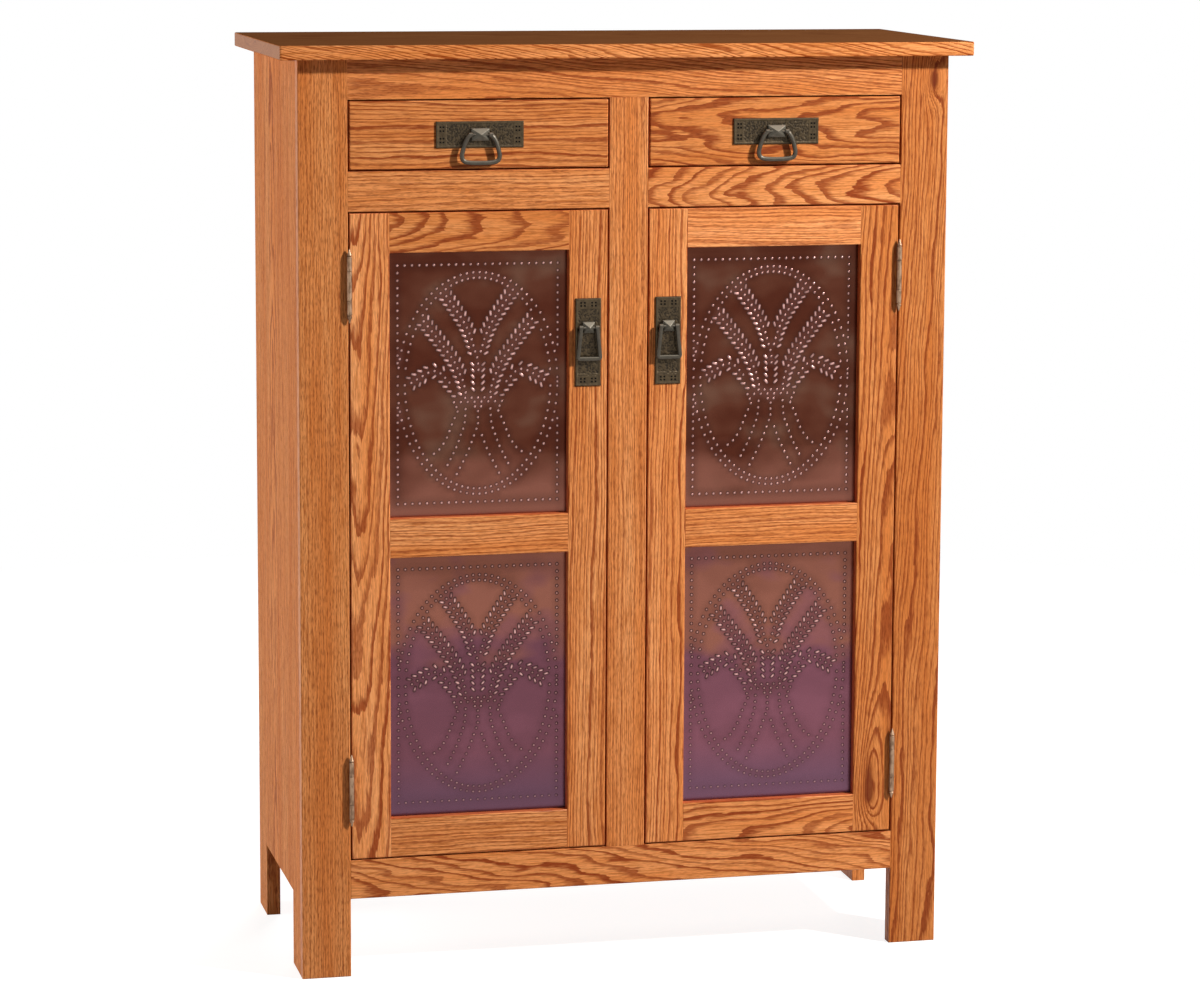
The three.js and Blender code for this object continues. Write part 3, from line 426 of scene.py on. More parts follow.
# The boards of each drawer and its guide
DRAWER_BOARDS = {
    "outer_side": ("y", "x", (40, 70), (6, 20), 4.4, 1.0, 1.15),
    "inner_side": ("y", "x", (40, 70), (6, 20), 4.4, 1.0, 1.15),
    "guide": ("y", "z", (30, 60), (6, 20), 4.2, 1.0, 1.0),
    "back": ("x", "y", (30, 60), (6, 20), 4.4, 1.0, 1.15),
    "bottom": ("x", "z", (30, 60), (6, 26), 5.4, 1.2, 1.15),
}
EDGE_ROUND = 0.5 * MM
DRAWER_ROUND = 1.2 * MM


def dress_boards():
    """Gives every oak node of the frame its own board and slightly broken edges."""
    boards = {name: (grain, "y", *cut) for name, (grain, *cut) in FACE_BOARDS.items()}
    boards.update(BODY_BOARDS)
    for side, (name, cut) in product(SIDES, DRAWER_BOARDS.items()):
        boards[f"{side}_drawer_{name}"] = cut
    for name, (grain, face, *cut) in boards.items():
        node = frame["nodes"][name]
        board = oak(name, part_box(name), grain, face, *cut)
        node.data.materials.clear()
        node.data.materials.append(board)
        soften(node, DRAWER_ROUND if name.endswith("drawer_front") else EDGE_ROUND)


def soften(node, width):
    """Breaks the edges of a flat-sided mesh by a hair's breadth."""
    node.modifiers.new("weld", "WELD").merge_threshold = 0.01 * MM
    flat = node.modifiers.new("flat", "DECIMATE")
    flat.decimate_type = "DISSOLVE"
    flat.angle_limit = math.radians(1)
    break_edges(node, width, 30)


def break_edges(piece, width, degrees):
    """Bevels the edges where a mesh turns by more than an angle."""
    edges = piece.modifiers.new("bevel", "BEVEL")
    edges.width = width
    edges.segments = 2
    edges.limit_method = "ANGLE"
    edges.angle_limit = math.radians(degrees)


# Meshes of the scene's own pieces

ROUND = 32
CURVE_STEPS = 24


def angles(count, shift=0.0):
    """Even steps round a circle."""
    return [2 * math.pi * (i + shift) / count for i in range(count)]


def bridged(first, second):
    """Faces between two closed rings of vertices, either of which may be a single point."""
    faces = []
    for i in range(max(len(first), len(second))):
        corners = [first[i % len(first)], first[(i + 1) % len(first)],
                   second[(i + 1) % len(second)], second[i % len(second)]]
        faces.append(list(dict.fromkeys(corners)))
    return faces


def link(name, data):
    """A new object in the scene."""
    made = bpy.data.objects.new(name, data)
    bpy.context.scene.collection.objects.link(made)
    return made


def at(x, y, z):
    """A place with its parent's own axes."""
    return Matrix.Translation((x, y, z))


def in_mm(x, y, z):
    """A place given in metres whose own unit is the millimetre."""
    return at(x, y, z) @ Matrix.Scale(MM, 4)


class Shape:
    """The vertices and faces of one piece in metres, gathered from its parts."""

    def __init__(self):
        self.vertices = []
        self.faces = []

    def ring(self, points, place=Matrix.Identity(4)):
        """Adds a vertex at each point of a place and gives their numbers."""
        first = len(self.vertices)
        self.vertices += [tuple(place @ Vector(point)) for point in points]
        return list(range(first, len(self.vertices)))

    def skin(self, rings, capped=False):
        """Faces between each ring and the next, and over both ends where they are capped."""
        for lower, upper in zip(rings, rings[1:]):
            self.faces += bridged(lower, upper)
        if capped:
            self.faces += [rings[0], rings[-1]]

    def lathe(self, profile, place, sides=ROUND):
        """A profile of (radius, height), from axis to axis, turned round a place's z axis."""
        self.skin([self.ring([(radius * math.cos(turn), radius * math.sin(turn), height)
                              for turn in angles(sides if radius else 1)], place)
                   for radius, height in profile])

    def sweep(self, path, section, place):
        """A section of (sideways, forwards) drawn along a path of (x, z) at y = 0, with flat ends."""
        rings = []
        for i, (x, z) in enumerate(path):
            ahead = Vector(path[min(i + 1, len(path) - 1)]) - Vector(path[max(i - 1, 0)])
            across = Vector((-ahead[1], ahead[0])).normalized()
            rings.append(self.ring([(x + across[0] * u, v, z + across[1] * u) for u, v in section], place))
        self.skin(rings, capped=True)

    def block(self, place, low, high):
        """A box between two corners of a place."""
        ids = self.ring(product(*zip(low, high)), place)
        for corners in ((0, 1, 3, 2), (4, 6, 7, 5), (0, 4, 5, 1), (2, 3, 7, 6), (0, 2, 6, 4), (1, 5, 7, 3)):
            self.faces.append([ids[i] for i in corners])

    def piece(self, name, body, slot, dress, replaced=(), bevel=0.0, sharp=40.0):
        """Makes the piece: faces outwards, smooth but for its sharp edges, and fixed to its body."""
        mesh = bpy.data.meshes.new(name)
        mesh.from_pydata(self.vertices, [], self.faces)
        bm = bmesh.new()
        bm.from_mesh(mesh)
        bmesh.ops.recalc_face_normals(bm, faces=bm.faces)
        for face in bm.faces:
            face.smooth = True
        for edge in bm.edges:
            edge.smooth = edge.calc_face_angle(0) < math.radians(sharp)
        bm.to_mesh(mesh)
        bm.free()
        mesh.materials.append(dress)
        made = link(name, mesh)
        if bevel:
            break_edges(made, bevel, sharp)
        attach(made, body)
        if replaced:
            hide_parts(*replaced)
        return made


def smooth_line(points, pitch):
    """Even steps along a smooth line through points: rows of (x, z, heading)."""
    points = np.array(points, dtype=float)
    padded = np.vstack([2 * points[0] - points[1], points, 2 * points[-1] - points[-2]])
    t = np.linspace(0, 1, CURVE_STEPS, endpoint=False)[:, None]
    stretches = [0.5 * (2 * b + (c - a) * t + (2 * a - 5 * b + 4 * c - d) * t ** 2
                        + (3 * b - a - 3 * c + d) * t ** 3)
                 for a, b, c, d in zip(padded, padded[1:], padded[2:], padded[3:])]
    line = np.vstack([*stretches, points[-1:]])
    steps = np.diff(line, axis=0)
    run = np.concatenate([[0], np.cumsum(np.linalg.norm(steps, axis=1))])
    headings = np.unwrap(np.arctan2(steps[:, 1], steps[:, 0]))
    stops = np.linspace(0, run[-1], max(1, round(run[-1] / pitch)) + 1)
    return np.column_stack([np.interp(stops, run, line[:, 0]), np.interp(stops, run, line[:, 1]),
                            np.interp(stops, (run[1:] + run[:-1]) / 2, headings)])


# Punched panels: a wheat sheaf in a double oval, inside a border of dots. Sizes in millimetres

OVAL_HALF = (108.6, 148.8)
INNER_OVAL_HALF = (98.9, 141.5)
OVAL_DOTS = 79
BORDER_HALF = (108.6, 159.45)
BORDER_DOTS = (23, 33)
DOT_RADIUS = 2.25
DOT_RISE = 1.05
GRAIN_HALF_LENGTH = 4.5
GRAIN_HALF_WIDTH = 1.95
GRAIN_RISE = 1.25
GRAIN_PITCH = 8.6
GRAIN_REACH = 7.8
GRAIN_TURN = math.radians(42)
STEM_PITCH = 9.3
MARK_GAP = 1.05
DOT_SIDES = 8
GRAIN_SIDES = 12
GRAIN_DISCS = 7
BAND_PITCH = 8.2
BAND_ROWS = ((0.32, -0.128), (0.30, -0.165), (0.27, -0.208))
# Middle lines of the left half's ears, and how far up each ear's inner row of grains starts
EARS = (
    (((0.01, -0.05), (0, 0.19), (-0.04, 0.30), (-0.09, 0.42), (-0.17, 0.545), (-0.28, 0.67),
      (-0.395, 0.79)), 0.5),
    (((-0.155, -0.08), (-0.185, 0.02), (-0.24, 0.11), (-0.30, 0.205), (-0.42, 0.33), (-0.545, 0.45),
      (-0.675, 0.57)), 0.0),
    (((-0.25, -0.075), (-0.365, 0.02), (-0.47, 0.10), (-0.57, 0.12), (-0.70, 0.075), (-0.83, 0.02)), 0.0),
)
STEMS = (
    ((-0.255, -0.25), (-0.33, -0.37), (-0.39, -0.485), (-0.48, -0.585), (-0.55, -0.625)),
    ((-0.155, -0.23), (-0.17, -0.365), (-0.21, -0.45), (-0.27, -0.57), (-0.38, -0.73)),
    ((-0.02, -0.41), (-0.055, -0.48), (-0.13, -0.62), (-0.265, -0.815)),
)
CENTRE_STEM = ((0, -0.25), (0, -0.36))


def in_oval(shares):
    """Shares of the oval's half width and half height as places in millimetres."""
    return [(u * OVAL_HALF[0], v * OVAL_HALF[1]) for u, v in shares]


def dot(x, z):
    """A round mark: place, turn, half length, half width, rise."""
    return x, z, 0.0, DOT_RADIUS, DOT_RADIUS, DOT_RISE


def ear(shares, inner_start):
    """A row of slanting grains on each side of an ear's middle line, with a dot between each pair."""
    marks = []
    rows = smooth_line(in_oval(shares), GRAIN_PITCH)
    for i, (x, z, heading) in enumerate(rows):
        for side in (1, -1):
            if side > 0 or i / len(rows) >= inner_start:
                away = heading + side * math.pi / 2
                marks.append((x + GRAIN_REACH * math.cos(away), z + GRAIN_REACH * math.sin(away),
                              heading + side * GRAIN_TURN, GRAIN_HALF_LENGTH, GRAIN_HALF_WIDTH, GRAIN_RISE))
        marks.append(dot(x, z))
    return marks


def row(start, end, count):
    """Dots in a straight row."""
    return [dot(*point) for point in np.linspace(start, end, count)]


def oval(half, count):
    """Dots at equal steps of the angle round an oval."""
    return [dot(half[0] * math.cos(turn), half[1] * math.sin(turn)) for turn in angles(count, 0.5)]


def punched_marks():
    """All the marks of the pattern about the panel's middle, without those that would run together."""
    left = [mark for shares, inner_start in EARS for mark in ear(shares, inner_start)]
    left += [dot(x, z) for shares in STEMS for x, z, _ in smooth_line(in_oval(shares), STEM_PITCH)]
    marks = left + [(-x, z, math.pi - turn, *size) for x, z, turn, *size in left]
    marks += [dot(x, z) for x, z, _ in smooth_line(in_oval(CENTRE_STEM), STEM_PITCH)]
    for i, (reach, level) in enumerate(BAND_ROWS):
        half, z = reach * OVAL_HALF[0], level * OVAL_HALF[1]
        marks += row((-half, z), (half, z), round(2 * half / BAND_PITCH) + 1 - i % 2)
    marks += oval(OVAL_HALF, OVAL_DOTS) + oval(INNER_OVAL_HALF, OVAL_DOTS)
    across, upright = BORDER_HALF
    for sign in (1, -1):
        marks += row((-across, sign * upright), (across, sign * upright), BORDER_DOTS[0])
        marks += row((sign * across, -upright), (sign * across, upright), BORDER_DOTS[1])[1:-1]
    return kept_apart(marks)


def kept_apart(marks):
    """The marks, long ones first, without any that comes too close to one before it."""
    kept = []
    taken = np.zeros((0, 3))
    for mark in sorted(marks, key=lambda mark: -mark[3]):
        x, z, turn, length, width, _ = mark
        spread = (length - width) * np.linspace(-1, 1, GRAIN_DISCS)
        discs = np.column_stack([x + spread * math.cos(turn), z + spread * math.sin(turn),
                                 np.full(GRAIN_DISCS, width)])
        apart = np.linalg.norm(taken[:, None, :2] - discs[None, :, :2], axis=2)
        if (apart - taken[:, None, 2] - discs[None, :, 2]).min(initial=math.inf) >= MARK_GAP:
            kept.append(mark)
            taken = np.vstack([taken, discs])
    return kept


def outline(mark, scale, grow=0.0):
    """The rounded outline of a mark, scaled towards its middle or grown by a margin."""
    x, z, turn, length, width, _ = mark
    points = []
    for angle in angles(DOT_SIDES if length == width else GRAIN_SIDES, 0.5):
        u = scale * (math.copysign(length - width, math.cos(angle)) + (width + grow) * math.cos(angle))
        v = scale * (width + grow) * math.sin(angle)
        points.append((x + u * math.cos(turn) - v * math.sin(turn),
                       z + u * math.sin(turn) + v * math.cos(turn)))
    return points


SHEET_GRID = 7.0
MARK_CLEAR = 5.4
FOOT_REACH = 0.5
# The painted shade on the sheet just round each mark
FOOT_SHADE = 0.25
# The rings of a mark from its foot up: scale, how dark its painted shade at the foot, how bright its painted
# highlight on the crown
MARK_RINGS = ((1.0, 1.0, 0.0), (0.58, 0.45, 0.35), (0.0, 0.0, 1.0))
# How bright the painted highlight of a round mark or of a grain may be, drawn at random between these
DOT_HIGHLIGHT = (0.6, 1.0)
GRAIN_HIGHLIGHT = (0.6, 1.4)
TIN_THICKNESS = 0.8
BULGE = 0.12
BULGE_SPREAD = 5.5
BATCH = 2000
BUCKLE = 0.5
BUCKLE_SIZE = 85.0
BUCKLE_EDGE = 30.0
BUCKLE_START = 2.1
BUCKLE_STEP = 7.3


def flat_sheet(marks, half):
    """The sheet round the feet of its marks: places (x, z), triangles, each place's mark or -1, and the
    number of the place at each point of the feet."""
    points, edges, owner = [], [], []
    for number, mark in enumerate(marks):
        foot = outline(mark, 1.0, FOOT_REACH)
        first = len(points)
        points += foot
        owner += [number] * len(foot)
        edges += [(first + i, first + (i + 1) % len(foot)) for i in range(len(foot))]
    middles = np.array([mark[:2] for mark in marks])
    for x, z in product(*(np.linspace(-reach, reach, round(2 * reach / SHEET_GRID) + 1) for reach in half)):
        on_edge = abs(x) == half[0] or abs(z) == half[1]
        if on_edge or np.abs(middles - (x, z)).max(axis=1).min() > MARK_CLEAR:
            points.append((x, z))
            owner.append(-1)
    result = geometry.delaunay_2d_cdt([Vector(point) for point in points], edges, [], 0, 1e-5)
    source = [originals[0] for originals in result[3]]
    owners = [owner[i] for i in source]
    triangles = [list(face) for face in result[2]
                 if len({owners[i] for i in face}) > 1 or owners[face[0]] < 0]
    numbers = {original: i for i, original in enumerate(source)}
    return [tuple(place) for place in result[0]], triangles, owners, numbers


def punched_sheet(half):
    """The front of a punched sheet in millimetres: places (x, z), rise over the sheet, triangles, and how
    far each place takes a mark's painted foot shade and painted crown highlight, and how closely worked the
    ground is."""
    marks = punched_marks()
    places, triangles, owners, numbers = flat_sheet(marks, half)
    rise = [0.0] * len(places)
    foot = [FOOT_SHADE if owner >= 0 else 0.0 for owner in owners]
    crown = [0.0] * len(places)
    rng = random.Random("crowns")
    first = 0
    for mark in marks:
        count = len(outline(mark, 1.0))
        lower = [numbers[first + i] for i in range(count)]
        first += count
        highlight = rng.uniform(*(DOT_HIGHLIGHT if mark[3] == mark[4] else GRAIN_HIGHLIGHT))
        for scale, dark, highlight_share in MARK_RINGS:
            ring = outline(mark, scale) if scale else [mark[:2]]
            upper = list(range(len(places), len(places) + len(ring)))
            places += ring
            rise += [mark[5] * math.cos(math.pi * scale / 2) ** 2] * len(ring)
            foot += [dark] * len(ring)
            crown += [highlight_share * highlight] * len(ring)
            triangles += bridged(lower, upper)
            lower = upper
    places = np.array(places)
    worked = crowding(places, np.array([mark[:2] for mark in marks]))
    return places, np.array(rise), triangles, {"foot": foot, "crown": crown, "worked": list(worked)}


def crowding(places, middles):
    """How closely the marks stand round each place of a sheet."""
    crowd = np.zeros(len(places))
    for start in range(0, len(places), BATCH):
        apart = places[start:start + BATCH, None, :] - middles[None]
        crowd[start:start + BATCH] = np.exp(-(apart ** 2).sum(2) / (2 * BULGE_SPREAD ** 2)).sum(1)
    return crowd


def buckles(places, half, number):
    """How far the numbered sheet stands forward where it has buckled between its edges."""
    seed = BUCKLE_STEP * number + BUCKLE_START
    buckle = np.array([noise.noise((x / BUCKLE_SIZE, z / BUCKLE_SIZE, seed)) for x, z in places])
    inset = (np.array(half) - np.abs(places)).min(axis=1)
    return BUCKLE * buckle * np.clip(inset / BUCKLE_EDGE, 0, 1)


# Copper. Levels are millimetres above a sheet's middle

COPPER_BROWN = rgb(94, 51, 36)
COPPER_DARK = rgb(82, 38, 24)
# The grey, blue and warm colours among these are painted reflections, laid on the sheets as clouds and bands
COPPER_GREY_REFLECTION = rgb(112, 78, 62)
COPPER_PURPLE = rgb(108, 66, 78)
COPPER_BLUE_REFLECTION = rgb(94, 66, 84)
COPPER_WARM_REFLECTION = rgb(138, 86, 71)
# Painted shade round the foot of each mark and a painted highlight on its crown
COPPER_FOOT_SHADE = rgb(36, 16, 12)
COPPER_CROWN_HIGHLIGHT = rgb(226, 176, 170)
# A painted sheen on the upper sheets and a painted shade on the lower ones, where marks stand close
CROWDED_SHEEN = rgb(136, 88, 80)
CROWDED_SHADE = rgb(92, 52, 52)
CLOUD_SIZE = (85, 85, 60)
WAVE_SIZE = (70, 70, 45)
WAVE_REACH = 110
SPECK_SIZE = (2.2, 2.2, 2.2)
SHEET_FOOT = -150
WARM_REFLECTION_FADE = 35
# The lower sheets by number: the level where their painted warm reflection starts, and how much lighter they
# are
LOWER_SHEETS = {1: (40, 1.0), 3: (12, 1.18)}


def brown_patina_and_reflections(g, wavy, cloud):
    """The upper sheets: brown, with painted reflections as dark and grey clouds and as a warm band at the
    foot.
    """
    base = g.mix(g.ramp(cloud, (0.4, 0.0), (0.52, 1.0)), COPPER_DARK, COPPER_BROWN)
    base = g.mix(g.ramp(cloud, (0.54, 0.0), (0.68, 0.8)), base, COPPER_GREY_REFLECTION)
    return g.mix(g.remap(wavy, -90, SHEET_FOOT, 0, 0.95), base, COPPER_WARM_REFLECTION)


def purple_patina_and_reflections(g, height, wavy, cloud, warm_from, lift):
    """The lower sheets: purple, with painted reflections as lighter clouds, bluer at the foot, and warm and
    then brown at the top.
    """
    warm = g.remap(wavy, warm_from, warm_from + WARM_REFLECTION_FADE, 0, 1)
    base = g.mix(warm, shade(COPPER_PURPLE, lift), shade(COPPER_WARM_REFLECTION, 1.1))
    base = g.mix(g.ramp(cloud, (0.5, 0.0), (0.62, 0.5)), base, shade(COPPER_PURPLE, 1.25 * lift))
    base = g.mix(g.remap(wavy, 120, 165, 0, 0.45), base, COPPER_BROWN)
    return g.mix(g.remap(height, -95, SHEET_FOOT, 0, 0.8), base, shade(COPPER_BLUE_REFLECTION, lift))


def copper(name, number):
    """Copper sheet with an oiled, uneven patina and painted reflections: painted shade round the foot of each
    mark and a painted highlight on its crown.
    """
    made, g = material("copper_" + name)
    place = g.millimetres()
    shifted = g.vector("ADD", place, (137.0 * number, 0, 91.0 * number))
    cloud = g.noise(shifted, CLOUD_SIZE)[0]
    height = g.add("SeparateXYZ", place).outputs[2]
    wavy = g.math("ADD", height, g.centred(g.noise(shifted, WAVE_SIZE, detail=1)[0], WAVE_REACH))
    # foot and crown hold the painted shade round each mark's foot and the painted highlight on its crown
    foot, crown, worked = (g.attribute(part) for part in ("foot", "crown", "worked"))
    if number in LOWER_SHEETS:
        base = purple_patina_and_reflections(g, height, wavy, cloud, *LOWER_SHEETS[number])
        crowded_painted_light = CROWDED_SHADE
        foot = g.ramp(foot, (0.0, 0.0), (0.25, 0.2), (0.45, 0.7), (1.0, 1.0))
        crown = g.ramp(crown, (0.0, 0.0), (0.35, 0.15), (0.7, 0.6), (1.0, 1.0))
        # On the lower sheets the painted shade and the painted highlight of the marks grow fainter towards
        # the bottom
        dark = g.remap(height, SHEET_FOOT, 0, 0.45, 0.95)
        lit = g.remap(height, SHEET_FOOT, 40, 0.55, 0.9)
    else:
        base = brown_patina_and_reflections(g, wavy, cloud)
        crowded_painted_light = CROWDED_SHEEN
        dark = lit = 0.95
    speck = g.noise(place, SPECK_SIZE, detail=3)[0]
    colour = g.mix(g.math("MULTIPLY", speck, 0.2), base, COPPER_DARK)
    # Painted sheen or painted shade where marks stand close
    colour = g.mix(g.remap(worked, 1.9, 3.0, 0.0, 0.4), colour, crowded_painted_light)
    # Painted shade round each mark's foot
    colour = g.mix(g.math("MULTIPLY", foot, dark), colour, COPPER_FOOT_SHADE)
    g.surface(
        # A painted highlight on each mark's crown
        Base_Color=g.mix(g.math("MULTIPLY", crown, lit, clamped=True), colour, COPPER_CROWN_HIGHLIGHT),
        Metallic=0.9,
        Roughness=g.math("MULTIPLY_ADD", speck, 0.1, 0.2),
        Normal=g.bump(speck, 0.02 * MM, 0.5),
    )
    return made


def tins():
    """Replaces the four plain panels with punched sheets that are open behind their marks."""
    low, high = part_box("left_door_upper_tin")
    half = ((high.x - low.x) / 2 / MM, (high.z - low.z) / 2 / MM)
    places, rise, triangles, parts = punched_sheet(half)
    count = len(places)
    on_edge = (np.abs(np.abs(places) - half) < 1e-3).any(axis=1)
    rims = dict.fromkeys((a, b) for face in triangles for a, b in zip(face, face[1:] + face[:1])
                         if on_edge[a] and on_edge[b])
    faces = triangles + [[i + count for i in reversed(face)] for face in triangles]
    faces += [[b, a, a + count, b + count] for a, b in rims if (b, a) not in rims]
    for number, (side, level) in enumerate(product(SIDES, ("upper", "lower"))):
        node = f"{side}_door_{level}_tin"
        low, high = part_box(node)
        front = -rise - BULGE * np.array(parts["worked"]) - buckles(places, half, number)
        mesh = bpy.data.meshes.new(f"{node}_sheet")
        mesh.from_pydata([(x * MM, (y + back) * MM, z * MM) for back in (0, TIN_THICKNESS)
                          for (x, z), y in zip(places, front)], [], faces)
        mesh.shade_smooth()
        for part, shares in parts.items():
            values = mesh.attributes.new(part, "FLOAT", "POINT")
            values.data.foreach_set("value", np.array(shares + shares, dtype=np.float32))
        mesh.materials.append(copper(node, number))
        made = link(f"{node}_sheet", mesh)
        made.location = ((low.x + high.x) / 2, high.y - TIN_THICKNESS * MM, (low.z + high.z) / 2)
        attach(made, f"{side}_door")
        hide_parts(node)


# Bronze of the pulls and nickel of the hinges, screws and catches

# A painted highlight for bronze faces that look up
BRONZE_TOP_HIGHLIGHT = rgb(178, 168, 150)
NICKEL_DARK = rgb(116, 90, 70)
NICKEL_LIGHT = rgb(156, 128, 104)


def bronze(name, dark, light, grain, roughness, metallic, lift):
    """Dark bronze whose hollows stay dark and whose high parts are rubbed a little lighter, with a painted
    highlight on faces that look up, by the share lift."""
    made, g = material(name)
    place = g.millimetres()
    cloud = g.noise(place, (grain, grain, grain), detail=4, roughness=0.6)[0]
    rubbed = g.ramp(cloud, (0.35, 0.0), (0.7, 1.0))
    colour = g.mix(g.math("MULTIPLY", rubbed, 0.6), light, dark)
    # Painted highlight: faces that look up are lighter, by the share lift
    colour = g.mix(g.ramp(g.facing("z"), (0.3, 0.0), (0.75, lift)), colour, BRONZE_TOP_HIGHLIGHT)
    hollow = g.remap(g.attribute("hollow"), 0.6, 1.05, 0.0, 1.0)
    g.surface(
        Base_Color=g.mix(hollow, colour, shade(dark, 0.3)),
        Metallic=metallic,
        Roughness=g.math("MULTIPLY_ADD", cloud, 0.2, roughness),
        Normal=g.bump(g.noise(place, (0.9, 0.9, 0.9))[0], 0.05 * MM, 0.6),
    )
    return made


def worn_nickel():
    """Antique nickel: brownish, with darker stains."""
    made, g = material("antique_nickel")
    stain = g.noise(g.millimetres(), (4, 4, 9), detail=3)[0]
    g.surface(
        Base_Color=g.mix(g.ramp(stain, (0.36, 0.0), (0.58, 1.0)), NICKEL_DARK, NICKEL_LIGHT),
        Metallic=0.9,
        Roughness=g.math("MULTIPLY_ADD", stain, 0.2, 0.36),
        Normal=g.bump(stain, 0.03 * MM, 0.4),
    )
    return made


# The last number of each: how much painted highlight the faces that look up take
bronze_plate = bronze("bronze_plate", rgb(33, 24, 14), rgb(80, 66, 46), 5.0, 0.32, 0.75, 0.1)
bronze_boss = bronze("bronze_boss", rgb(48, 42, 33), rgb(90, 84, 72), 6.0, 0.3, 0.5, 0.7)
bronze_bail = bronze("bronze_bail", rgb(44, 39, 31), rgb(78, 71, 60), 7.0, 0.26, 0.55, 0.5)
nickel = worn_nickel()


# Pulls: a hammered plate with a raised border and square pockets, a pyramid boss and a bail. Millimetres

PLATE_THICKNESS = 2.5
PLATE_BEVEL = 1.2
PLATE_BORDER = 2.6
BORDER_GRIT = 0.12
GRIT_SIZE = 3
FIELD_DEPTH = 0.8
FIELD_SLOPE = 0.8
END_DEPTH = 0.4
END_HAMMER = 0.35
HAMMER_DEPTH = 0.75
HAMMER_SIZE = 2.4
DIMPLE_LIMIT = 0.8
DIMPLE_LEVEL = 0.45
POCKET_DEPTH = 1.0
POCKET_HALF = 1.15
POCKET_INSETS = (6.0, 10.0)
POCKET_LEVELS = (5.0, 10.0)
PLATE_STEP = 0.6
FEATURE_STEP = 0.1
RIDGE_INSET = 15.5
RIDGE_HALF = 0.9
END_GAP = 1.5
PULL_SCREW_SHARE = 0.66
BOSS_SIZES = {"drawer": (25.0, 16.5), "door": (17.0, 15.0)}
BOSS_PLINTH = 5.9
BOSS_TIP = 0.8
WIRE_RADIUS = 3.1
BACKWARDS = Matrix.Rotation(-math.pi / 2, 4, "X")


def plate_height(u, v, half_length, half_width, boss_at, ridged):
    """How far a pull plate stands off the wood: u runs along it and v across it."""
    end = half_length - abs(u)
    inset = min(end, half_width - abs(v))
    height = PLATE_THICKNESS - PLATE_BEVEL * (1 - min(1.0, inset / PLATE_BEVEL)) ** 2
    if inset < PLATE_BORDER:
        return height + BORDER_GRIT * noise.noise((u / GRIT_SIZE, v / GRIT_SIZE, 4.2))
    if (min(abs(end - level) for level in POCKET_INSETS) < POCKET_HALF
            and min(abs(abs(v) - level) for level in POCKET_LEVELS) < POCKET_HALF):
        return PLATE_THICKNESS - FIELD_DEPTH - POCKET_DEPTH
    dimple = noise.voronoi((u / HAMMER_SIZE, v / HAMMER_SIZE, boss_at))[0][0]
    field = HAMMER_DEPTH * (min(dimple, DIMPLE_LIMIT) - DIMPLE_LEVEL)
    if end < RIDGE_INSET - END_GAP:
        return PLATE_THICKNESS - END_DEPTH + END_HAMMER * field
    if ridged and abs(half_length + u - RIDGE_INSET) < RIDGE_HALF:
        return height
    return height + min(1.0, (inset - PLATE_BORDER) / FIELD_SLOPE) * (field - FIELD_DEPTH)


def grid_lines(half, pockets):
    """Even steps across a plate, with extra lines beside the edges of pockets so far in from its ends."""
    lines = list(np.linspace(-half, half, round(2 * half / PLATE_STEP) + 1))
    signs = (1, -1)
    wanted = [side * (half - pocket + edge * POCKET_HALF) + nudge * FEATURE_STEP
              for pocket, edge, side, nudge in product(pockets, signs, signs, signs)]
    lines = [line for line in lines if min(abs(line - other) for other in wanted) > PLATE_STEP / 2]
    return sorted(lines + wanted)


def pull_plate(side, kind):
    """A drawer's or a door's hammered plate with its boss, in place of the plain one."""
    node = f"{side}_{kind}_pull_plate"
    body = f"{side}_{kind}"
    low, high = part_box(node)
    middle = (low + high) / 2
    half_width, half_length = sorted(((high.x - low.x) / 2 / MM, (high.z - low.z) / 2 / MM))
    pivot_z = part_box(f"{side}_{kind}_bail")[1].z - WIRE_RADIUS * MM
    upright = kind == "door"
    boss_at = (pivot_z - middle.z) / MM if upright else 0.0

    def place(u, v, out):
        x, z = (v, u) if upright else (u, v)
        return middle.x + x * MM, high.y - out * MM, middle.z + z * MM

    shape = Shape()
    us = grid_lines(half_length, POCKET_INSETS)
    vs = grid_lines(half_width, [half_width - level for level in POCKET_LEVELS])
    ids = []
    for u in us:
        heights = [plate_height(u, v, half_length, half_width, boss_at, upright) for v in vs]
        ids.append(shape.ring([place(u, v, height) for v, height in zip(vs, heights)]))
    for first, second in zip(ids, ids[1:]):
        shape.faces += [[first[j], second[j], second[j + 1], first[j + 1]] for j in range(len(vs) - 1)]
    last_u, last_v = len(us) - 1, len(vs) - 1
    rim = [(i, 0) for i in range(last_u)] + [(last_u, j) for j in range(last_v)]
    rim += [(i, last_v) for i in range(last_u, 0, -1)] + [(0, j) for j in range(last_v, 0, -1)]
    skirt = shape.ring([place(us[i], vs[j], 0.0) for i, j in rim])
    shape.faces += [*bridged([ids[i][j] for i, j in rim], skirt), skirt]
    made = shape.piece(f"{node}_hammered", body, "dark_bronze", bronze_plate, (node,), sharp=50)
    sunk = [max(0.0, PLATE_THICKNESS - (high.y - y) / MM) for x, y, z in shape.vertices[:-len(skirt)]]
    made.data.attributes.new("hollow", "FLOAT", "POINT").data.foreach_set("value", sunk + [0.0] * len(skirt))
    boss(side, kind, Vector((middle.x, high.y, pivot_z)), (high.y - low.y) / MM)
    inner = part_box(f"{side}_door_lock_stile" if upright else f"{side}_drawer_front")[1].y
    for number, reach in enumerate((-PULL_SCREW_SHARE, PULL_SCREW_SHARE)):
        x, _, z = place(reach * half_length, 0, 0)
        screw(f"{side}_{kind}_pull_screw_{number + 1}", body, in_mm(x, inner, z) @ BACKWARDS, 3.6, 1.4)


